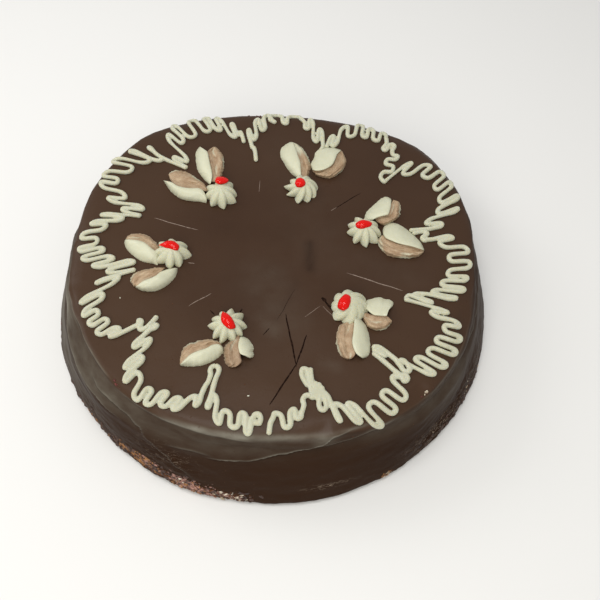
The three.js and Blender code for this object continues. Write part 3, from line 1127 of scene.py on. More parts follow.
@dataclass
class Garland:
    """White icing piped by hand in zigzags along twelve scallops round the top.

    A scallop lists the places where the piping bag turns, run by run.
    """

    body: GlazedBody
    sight: FrontSight
    bead_radius: float = 1.43
    lift: float = 0.75
    brow_looks: int = 9
    brow_step: float = 0.4
    sides: int = 12
    steps: int = 6
    turn_share: float = 0.21
    easy_stroke: float = 9.0
    thinnest: float = 0.72
    longest_turn: float = 0.4
    looks: int = 3
    uneven: float = 0.12
    uneven_size: float = 5.0
    end_girth: float = 0.45
    end_push: float = 0.75
    flatness: float = 0.95
    voxel: float = 0.4
    smooth_rounds: int = 3
    smooth_share: float = 0.5
    scallops: tuple[tuple[Line, ...], ...] = (
        (((76, 18.5), (88, 20.8), (94, 24.2), (87.3, 26.2), (103.2, 35.8), (93.8, 34.6), (104.6, 46),
          (95.3, 43.4), (101.6, 56.3), (93, 53.3), (97, 64.8), (87, 62), (88.2, 70.7), (75.5, 63.4),
          (76.4, 70.8), (61.2, 55)),),
        (((61.4, 55.2), (60.3, 61.2), (66.6, 66.4), (63.4, 72.4), (69.6, 76.3), (67.3, 80), (67.4, 87),
          (62, 83.2), (63.4, 91), (61.5, 97), (56.7, 91.4), (53.8, 100), (49.5, 93.8), (46.8, 103.2),
          (41, 93.8), (36.6, 100), (30.8, 85.2), (29, 91.2), (25.5, 82)),),
        (((22, 79), (23.2, 84), (21.3, 96.4), (18.2, 88.3), (15.2, 104.4), (12.4, 98.2), (9.6, 105),
          (5.5, 108.4), (1, 107.6), (-1.8, 101.8), (-5, 109), (-8.3, 110.2), (-11.4, 105.4), (-9, 102.4),
          (-14.4, 106.6), (-15.2, 95.2), (-20, 101.6), (-20, 86.8), (-24.3, 92), (-21.4, 80),
          (-19.2, 75.6), (-17.6, 67)),),
        (((-26.5, 82.3), (-29.2, 90.2), (-31.2, 89), (-35.3, 97), (-34, 87.6), (-44.5, 101),
          (-43.8, 92.5), (-53, 102.3), (-50.6, 91), (-61.5, 98.3), (-59.6, 85.4), (-71.6, 92),
          (-65.3, 80.2), (-73.4, 82), (-60.8, 64.8), (-67.3, 64.4), (-59.2, 57.6)),),
        (((-59.6, 57.4), (-75.2, 65), (-84, 72.2), (-77.3, 63.2), (-93.8, 68.4), (-84.5, 61.2),
          (-102.4, 60.5), (-93.3, 53.4), (-106.4, 49), (-99.4, 43.4), (-106.7, 39.8), (-93.4, 32.5),
          (-99.2, 28.4), (-82, 24), (-90.4, 21.4), (-80.5, 17.8)),),
        (((-80.8, 17.6), (-100.1, 17), (-91.9, 14.6), (-105.4, 10.6), (-99.8, 7.8), (-109.6, 1),
          (-102.2, -2.5), (-108.7, -9), (-97.8, -8.3), (-105.3, -15.1), (-91.9, -13.6), (-97.6, -19.6),
          (-80.3, -15.6), (-89.9, -22.7), (-77, -20.7)),),
        (((-77.4, -20.9), (-93.7, -29.5), (-86.3, -28.4), (-99.7, -42), (-91.5, -39.4), (-97.8, -50.1),
          (-91.8, -49.4), (-93.4, -56.2), (-86.1, -54), (-88, -61.5), (-79.7, -58.3), (-80.6, -62.6),
          (-70, -55.8), (-68.3, -53), (-66, -57.3), (-60.2, -49.8)),),
        (((-60.4, -50.4), (-62.4, -55.4), (-59.6, -55.6), (-64, -60), (-68.5, -67.7), (-62, -65.5),
          (-70.4, -78.8), (-64, -75.6), (-69.4, -86.4), (-63.4, -85), (-62.8, -96.3), (-57, -92.2),
          (-56.3, -99.3), (-49.3, -93.5), (-49, -99.8), (-42.3, -96), (-42.6, -101.1), (-35, -94.8),
          (-32.6, -98), (-30.3, -90), (-28.4, -84), (-28.2, -78.5), (-26.2, -76.6)),),
        (((-26.2, -76.6), (-24.3, -79), (-25.5, -86), (-26.3, -92), (-27.3, -99), (-24.3, -94.4),
          (-21.9, -106.1), (-18, -101.8), (-13.6, -108.5), (-9.8, -102.5), (-6.9, -111.2), (-5, -104.2),
          (-3.3, -101.8), (-1.3, -103.4), (-2, -106), (-4, -105.6)),
         ((-3, -101.9), (-1.3, -103.6), (-1.7, -107)),
         ((3.4, -111.4), (4.3, -104.5), (7, -101.2), (11.9, -106.9), (13.9, -98.9), (17.2, -102.3),
          (19, -97.5), (19.4, -91.5), (22.8, -90.3))),
        (((20.9, -84.9), (18.2, -80.3), (17.6, -77), (18.8, -75.6), (20.5, -77), (22, -84),
          (22.9, -90.4)),
         ((21.9, -75.2), (22.4, -80), (23.6, -85)),
         ((24.8, -82.8), (23.4, -90.4), (26.2, -84.6), (25.2, -90.4), (27.8, -86.2), (26.9, -92),
          (27, -95.6), (28.6, -97.4), (30.2, -96), (30, -93), (28.8, -88.6), (31.2, -90.6),
          (36.5, -101.6), (36, -94.8), (45.9, -102.1), (42.8, -94.1), (55.6, -103.4), (52.8, -93.3),
          (63.2, -95.6), (59.1, -86.6), (68.7, -88), (63.7, -78.4), (67, -77), (69.6, -79), (70.4, -76.4),
          (66.4, -75), (58, -67.5), (53.8, -64))),
        (((53.6, -60.4), (57.5, -60.9), (64.8, -66.8), (67, -69.8), (69.3, -73.2), (71.5, -73.4),
          (71.9, -71.2), (69.8, -67.9), (68.2, -67.6), (82.7, -73.6), (77, -66), (89.4, -68.8),
          (83.6, -60.7), (95.3, -60.8), (88, -53.8), (98.5, -52.8), (92.3, -46.6), (98.2, -43.4),
          (86.6, -38), (91.8, -35.8), (71.5, -29.5)),
         ((53.8, -62.2), (59.2, -65), (54.6, -61.2), (58.4, -63.6), (55.2, -63.6))),
        (((71.8, -29.2), (74.5, -27.2), (84.5, -30.5), (79, -26), (97, -27.3), (88.1, -23.6),
          (102.4, -21.4), (93.2, -17.6), (105, -13.7), (96.9, -10.5), (107.7, -3.7), (98.3, 0),
          (107, 6.7), (94.3, 9.3), (98.6, 15), (87, 12.6), (83.2, 12.6), (84.6, 17.4), (77.6, 16.4)),),
    )

    def rounded(self, run: Line) -> list[Vector]:
        """Rounds the turns of a run.

        Args:
            run: The places where the bag turns.

        Returns:
            Two points for each turn, so that the line bends and does not kink.
        """
        ends = [Vector((across, back, 0.0)) for across, back in run]
        line: list[Vector] = []
        for number, here in enumerate(ends):
            before = ends[max(number - 1, 0)]
            after = ends[min(number + 1, len(ends) - 1)]
            turn = (after - before) * self.turn_share
            longest = min((here - before).length, (after - here).length) * self.longest_turn
            if longest > 0.0 and turn.length > longest:
                turn *= longest / turn.length
            line += [here - turn, here + turn] if 0 < number < len(ends) - 1 else [here]
        return line

    def seat(self, seen: Vector) -> Vector:
        """Finds where the middle of the bead lies on the glaze.

        Args:
            seen: The spot that is read off the front view.

        Returns:
            The place of the bead. Where a sight line passes over the brow of the edge and misses
            the glaze, the bead is held at the brow.
        """
        deck = self.body.height + self.lift
        point = self.sight.at(seen, deck)
        eye = Vector(self.sight.eye)
        if (point - eye).xy.dot(point.xy) < 0.0:
            for _ in range(self.looks):
                point = self.sight.at(seen, self.body.top_height(point.x, point.y) + self.lift)
            return point
        nearest = deck
        for look in range(self.brow_looks):
            there = self.sight.at(seen, deck - look * self.brow_step)
            gap = there.z - self.body.top_height(there.x, there.y) - self.lift
            if gap < nearest:
                nearest, point = gap, there
            if gap <= 0.0:
                break
        point.z = self.body.top_height(point.x, point.y) + self.lift
        return point

    def pipe(self, bm: bmesh.types.BMesh, line: list[Vector], seed: float) -> None:
        """Sweeps a bead of icing along a line on the top; a long quick stroke comes out thinner.

        Args:
            bm: The mesh that gets the bead.
            line: The points that the bag passes.
            seed: A number that sets the bead's unevenness.
        """
        count = (len(line) - 1) * self.steps + 1
        path = [through(line, step / self.steps, False) for step in range(count)]
        girths = []
        for number, point in enumerate(path):
            point.xyz = self.seat(point)
            stretch = number / self.steps
            start = line[min(int(stretch), len(line) - 2)]
            end = line[min(int(stretch) + 1, len(line) - 1)]
            quick = (self.easy_stroke / max((end - start).length, self.easy_stroke)) ** 0.5
            middle = math.sin(math.pi * (stretch % 1.0))
            spot = point / self.uneven_size + Vector((seed, 0.0, 0.0))
            uneven = 1.0 + self.uneven * noise.noise(spot)
            girths.append(self.bead_radius * uneven * lerp(1.0, max(quick, self.thinnest), middle))

        def place(ring: int, side: int) -> Vector:
            """Puts a point of the bead round its line.

            Args:
                ring: The ring's number, with one more at each end for the caps.
                side: The point's number round the ring.

            Returns:
                The point in millimetres.
            """
            number = min(max(ring - 1, 0), count - 1)
            here = path[number]
            before = path[max(number - 1, 0)]
            after = path[min(number + 1, count - 1)]
            ahead = (after - before).normalized()
            level = Vector((-ahead.y, ahead.x, 0.0)).normalized()
            up = ahead.cross(level)
            end_cap = ring in (0, count + 1)
            radius = girths[number] * (self.end_girth if end_cap else 1.0)
            turn = TURN * side / self.sides
            push = ahead * girths[number] * self.end_push * ((ring == count + 1) - (ring == 0))
            rise = up * radius * self.flatness * math.sin(turn)
            return here + push + level * radius * math.cos(turn) + rise

        sweep(bm, count + 2, self.sides, place)

    def build(self, icing: bpy.types.Material) -> None:
        """Pipes every scallop and lets its beads run together.

        Args:
            icing: The finish of the garland.
        """
        for number, runs in enumerate(self.scallops):
            bm = bmesh.new()
            for run in runs:
                self.pipe(bm, self.rounded(run), float(number))
            rough = to_object(bm, f"bead_{number + 1}", icing)
            melt = rough.modifiers.new("melt", "REMESH")
            melt.mode = "VOXEL"
            melt.voxel_size = self.voxel * MM
            bpy.context.view_layer.update()
            graph = bpy.context.evaluated_depsgraph_get()
            bm = bmesh.new()
            bm.from_object(rough, graph)
            bpy.data.objects.remove(rough)
            bmesh.ops.scale(bm, vec=(1.0 / MM, 1.0 / MM, 1.0 / MM), verts=bm.verts)
            for _ in range(self.smooth_rounds):
                bmesh.ops.smooth_vert(
                    bm, verts=bm.verts, factor=self.smooth_share, use_axis_x=True, use_axis_y=True,
                    use_axis_z=True,
                )
            hand_over(to_object(bm, f"garland_{number + 1}", icing), ["cake"])


@dataclass
class Rosette:
    """A star of whipped cream from a fluted nozzle, drawn up to a low peak."""

    number: int
    centre: Pair
    floor: float
    lobes: int = 9
    point: float = 1.5
    depth: float = 1.0
    twist: float = 0.5
    radius: float = 9.9
    height: float = 8.4
    sink: float = 0.3
    stray: float = 0.14
    swing: float = 0.24
    foot_share: float = 0.4
    stray_seed: float = 17.0
    swing_seed: float = 23.0
    turn_seed: float = 5.0
    rings: int = 40
    lobe_sides: int = 14
    ridge_line: Line = (
        (0.98, 0.0), (1.05, 0.14), (0.96, 0.40), (0.78, 0.64), (0.52, 0.83), (0.24, 0.95), (0.0, 1.0),
    )
    groove_line: Line = (
        (0.64, 0.0), (0.69, 0.12), (0.71, 0.35), (0.63, 0.59), (0.45, 0.80), (0.22, 0.945), (0.0, 1.0),
    )

    def place(self, ring: int, side: int) -> Vector:
        """Gives a point of the rosette.

        Args:
            ring: The ring's number from the foot.
            side: The point's number round the ring.

        Returns:
            The point in millimetres.
        """
        share = max(ring - 1, 0) / (self.rings - 2)
        turn = side / self.lobe_sides
        lobe = int(turn + 0.5) % self.lobes
        wave = abs((turn + 0.5) % 1.0 - 0.5) * 2.0
        ridge = lerp(1.0, 1.0 - wave ** lerp(self.point, 2.0, share), self.depth)
        last = len(self.ridge_line) - 1
        outer = through([Vector((*spot, 0.0)) for spot in self.ridge_line], share * last, False)
        inner = through([Vector((*spot, 0.0)) for spot in self.groove_line], share * last, False)
        spot = inner.lerp(outer, ridge)
        free = (1.0 - share) * (1.0 - wave)
        long = 1.0 + self.stray * draw(self.number * self.stray_seed + lobe) * free
        swing = self.swing * draw(self.number * self.swing_seed + lobe) * free
        angle = TURN * (turn + swing) / self.lobes + self.twist * share
        angle += draw(self.number * self.turn_seed)
        radius = self.radius * spot.x * long * (self.foot_share if ring == 0 else 1.0)
        foot = Vector((*self.centre, self.floor - self.sink + self.height * spot.y))
        return foot + outwards(angle) * radius

    def build(self, cream: bpy.types.Material) -> None:
        """Pipes the rosette.

        Args:
            cream: The finish of the rosette.
        """
        bm = bmesh.new()
        sweep(bm, self.rings, self.lobes * self.lobe_sides, self.place)
        piece = to_object(bm, f"cream_rosette_{self.number}", cream)
        hand_over(piece, [f"rosette_{self.number}"])


@dataclass(frozen=True)
class Leaf:
    """One rolled half of a curl: its edge at the crease and its outer rim, from rosette to tip.

    Both edges are read off the front view. The pale line is a share of the way to the rim.
    """

    crease: Line
    rim: Line
    height: float = 5.6
    pale: float = 0.0
    # How much darker the whole brown leaf is.
    darkening: float = 0.0
    fade: float = 0.0

    def edge(self, outer: bool, share: float) -> Vector:
        """Gives a point of the crease or of the outer rim at a share of the leaf's length."""
        points = [Vector((*spot, 0.0)) for spot in (self.rim if outer else self.crease)]
        return through(points, share * (len(points) - 1), False)


@dataclass(frozen=True)
class Scraping:
    """How one chocolate comes off the knife: its section, its wrinkles and its torn rim."""

    section: Line
    depth: float
    long: float
    wide: float
    layers: int
    shift: float
    tear: float
    tuck: float


class Roll(Enum):
    """The two chocolates of a curl: the white one rolls smooth, and the brown one tears."""

    WHITE = Scraping(
        (
            (0.0, -0.04), (0.0, 0.40), (0.0, 0.80), (0.03, 0.95), (0.14, 1.0), (0.32, 0.96), (0.52, 0.82),
            (0.72, 0.60), (0.88, 0.33), (0.97, 0.12), (1.0, 0.0), (0.9, -0.04), (0.5, -0.04),
        ),
        depth=0.45, long=8.0, wide=7.0, layers=2, shift=5.0, tear=0.25, tuck=0.0,
    )
    BROWN = Scraping(
        (
            (0.0, -0.04), (0.0, 0.36), (0.0, 0.70), (0.05, 0.78), (0.16, 0.72), (0.30, 0.63),
            (0.44, 0.60), (0.58, 0.68), (0.72, 0.70), (0.84, 0.52), (0.96, 0.18), (1.0, 0.0),
            (0.9, -0.04), (0.5, -0.04),
        ),
        depth=0.8, long=6.0, wide=2.0, layers=3, shift=0.0, tear=0.6, tuck=1.0,
    )


@dataclass(frozen=True)
class CurlPlan:
    """The white and the brown leaf of a curl."""

    white: Leaf
    brown: Leaf

    def leaf(self, roll: Roll) -> Leaf:
        """Gives the leaf of one of the two chocolates."""
        return self.white if roll is Roll.WHITE else self.brown


@dataclass
class ChocolateCurl:
    """A curl scraped off a two-coloured bar: a smooth white leaf folded beside a torn brown one."""

    name: str
    node: str
    plan: CurlPlan
    sight: FrontSight
    floor: float
    seed: float
    sides: int = 52
    rings: int = 64
    length: float = 24.0
    end_swell: float = 0.38
    full_width: float = 4.0
    foot_free: float = 3.0
    tear_long: float = 1.8
    thinnest: float = 0.01
    white_rim: float = 0.34
    white_rim_width: float = 0.1
    rim_fade: float = 0.75
    rim_start: float = 0.78
    rim_width: float = 0.2
    pale_share: float = 0.55
    pale_width: float = 0.16
    pale_even: float = 0.45
    pale_patchy: float = 1.1
    rim_even: float = 0.6
    patch_long: float = 9.0
    patch_turns: float = 3.0
    fade_start: float = 0.35
    fade_run: float = 0.5
    # Painted shade along the brown leaf's crease, then a darkening towards its rim.
    crease_width: float = 0.11
    crease_even: float = 0.4
    crease_patchy: float = 0.5
    crease_size: float = 4.0
    rim_darkening: float = 0.15
    darkening_start: float = 0.8
    darkening_size: float = 2.2
    flow_apart: float = 40.0
    flow_wide: float = 9.0
    flow_tall: float = 4.0

    def section(self, roll: Roll, side: int) -> Vector:
        """Gives a point of a leaf's section, as shares of its width and height."""
        corners = [Vector((across, up, 0.0)) for across, up in roll.value.section]
        return through(corners, side / self.sides * len(corners), True)

    def spot(self, roll: Roll, ring: int, side: int) -> Vector:
        """Gives a point of a leaf.

        Args:
            roll: The leaf that the point is on.
            ring: The station's number along the leaf.
            side: The point's number round the section.

        Returns:
            The point in millimetres.
        """
        leaf, scraping = self.plan.leaf(roll), roll.value
        share = ring / (self.rings - 1)
        swell = max(4.0 * share * (1.0 - share), 0.0) ** self.end_swell
        point = self.section(roll, side)
        crease, rim = leaf.edge(False, share), leaf.edge(True, share)
        width = (rim - crease).length
        outward = (rim - crease) / max(width, self.thinnest)
        along = share * self.length
        full = min(width / self.full_width, 1.0)
        lift = min(max(point.y, 0.0) * self.foot_free, 1.0) * full
        wrinkle = Vector((
            along / scraping.long, point.x * width / scraping.wide, self.seed + scraping.shift,
        ))
        rise = lift * scraping.depth * noise.fractal(wrinkle, 0.9, LAYER_STEP, scraping.layers)
        tear = Vector((along / self.tear_long, self.seed * 3.0, 1.0))
        torn = scraping.tear * noise.fractal(tear, 0.6, LAYER_STEP, 3) * point.x
        held = scraping.tuck * (1.0 - point.x) * full
        spot = crease.lerp(rim, point.x) + outward * (torn - held)
        return self.sight.at(spot, self.floor + point.y * leaf.height * swell + rise)

    def build(self, chocolate: bpy.types.Material) -> None:
        """Shapes both leaves and marks their colours.

        Args:
            chocolate: The finish of the curl.
        """
        bm = bmesh.new()
        brown = bm.verts.layers.float.new("brown")
        crease = bm.verts.layers.float.new("crease")
        flow = bm.verts.layers.float_vector.new("flow")
        marked: set[bmesh.types.BMVert] = set()
        for roll in Roll:
            leaf = self.plan.leaf(roll)
            start, end = leaf.edge(False, 0.0), leaf.edge(False, 1.0)
            ahead = (end - start).normalized()
            sweep(bm, self.rings, self.sides, lambda ring, side: self.spot(roll, ring, side))
            seat = bm.verts.layers.int["seat"]
            for vert in set(bm.verts) - marked:
                point = self.section(roll, vert[seat])
                along = vert.co.dot(ahead)
                patch = Vector((along / self.patch_long, point.x * self.patch_turns, self.seed))
                vert[brown] = self.tone(roll, leaf, point.x, noise.noise(patch))
                if roll is Roll.BROWN:
                    gone = (vert.co.xy - start.xy).dot(ahead.xy) / (end - start).length
                    vert[brown] -= leaf.fade * ease((gone - self.fade_start) / self.fade_run)
                    # Painted shade in the crease, and the leaf's darkening.
                    vert[crease] = self.shade(leaf, point.x, vert.co)
                vert[flow] = Vector((
                    along + self.seed * self.flow_apart, point.x * self.flow_wide, point.y * self.flow_tall,
                ))
            marked = set(bm.verts)
        hand_over(to_object(bm, self.name, chocolate), [self.node])

    def tone(self, roll: Roll, leaf: Leaf, across: float, patchy: float) -> float:
        """Gives how brown a leaf is.

        Args:
            roll: The leaf's chocolate.
            leaf: The leaf's plan.
            across: The share of the way from the crease to the rim.
            patchy: A draw from -1 to 1 that breaks up the pale line and the rim.

        Returns:
            A share from 0, white, to 1, brown.
        """
        if roll is Roll.WHITE:
            start = 1.0 - self.white_rim_width
            return self.white_rim * ease((across - start) / self.white_rim_width)
        pale = (across - leaf.pale) / self.pale_width
        share = self.pale_share if leaf.pale else 0.0
        strength = share * ease(self.pale_even + self.pale_patchy * patchy)
        rim = self.rim_fade * ease((across - self.rim_start) / self.rim_width) * (self.rim_even + patchy)
        return 1.0 - strength * math.exp(-pale * pale) - rim

    def shade(self, leaf: Leaf, across: float, place: Vector) -> float:
        """Gives how dark the brown leaf is: painted shade in its crease, and darker towards its rim and
        over the whole leaf by its plan.

        Args:
            leaf: The leaf's plan.
            across: The share of the way from the crease to the rim.
            place: The point in millimetres.

        Returns:
            A share from 0 up.
        """
        near = across / self.crease_width
        depth = self.crease_even + self.crease_patchy * noise.noise(place / self.crease_size)
        rim = self.rim_darkening * ease((across - self.darkening_start) / (1.0 - self.darkening_start))
        darkening = rim * (self.rim_even + noise.noise(place / self.darkening_size))
        return max(math.exp(-near * near) * depth + darkening + leaf.darkening, 0.0)


@dataclass
class JellyDrop:
    """A drop of berry jelly that lies over a rosette's peak and sags down its slope."""

    number: int
    peak: Pair
    middle: Pair
    length: float
    width: float
    heading: float
    level: float
    tail: float = 0.0
    bow: float = 0.0
    height: float = 3.4
    sag: float = 0.025
    round_end: float = 0.9
    slimmer: float = 0.18
    uneven: float = 0.08
    uneven_size: float = 2.5
    rings: int = 20
    sides: int = 28

    def place(self, ring: int, side: int) -> Vector:
        """Gives a point of the drop.

        Args:
            ring: The ring's number along the drop.
            side: The point's number round the ring.

        Returns:
            The point in millimetres.
        """
        lean = math.pi * ring / (self.rings - 1)
        along = -math.cos(lean)
        drawn = self.round_end + self.tail * (1.0 + along) / 2.0
        girth = max(math.sin(lean), 0.0) ** drawn * (1.0 - self.slimmer * along)
        turn = TURN * side / self.sides
        local = Vector((
            along * self.length / 2.0,
            girth * math.cos(turn) * self.width / 2.0 + self.bow * along * along,
            girth * math.sin(turn) * self.height / 2.0,
        ))
        spot = local / self.uneven_size + Vector((self.number * 3.0, 0.0, 0.0))
        local *= 1.0 + self.uneven * noise.noise(spot)
        local.rotate(Matrix.Rotation(math.radians(self.heading), 3, "Z"))
        from_peak = Vector(self.middle) - Vector(self.peak)
        fall = self.sag * ((local.xy + from_peak).length_squared - from_peak.length_squared)
        return local + Vector((*self.middle, self.level - fall))

    def build(self, jelly: bpy.types.Material) -> None:
        """Shapes the drop.

        Args:
            jelly: The finish of the drop.
        """
        bm = bmesh.new()
        sweep(bm, self.rings, self.sides, self.place)
        piece = to_object(bm, f"jelly_drop_{self.number}", jelly)
        hand_over(piece, [f"jelly_{self.number}"])


@dataclass(frozen=True)
class OrnamentPlan:
    """A rosette with its two curls and its drop of jelly."""

    at: Pair
    lobes: int
    point: float
    depth: float
    twist: float
    jelly_offset: Pair
    jelly_size: Pair
    jelly_heading: float
    jelly_tail: float
    jelly_bow: float
    first: CurlPlan
    second: CurlPlan


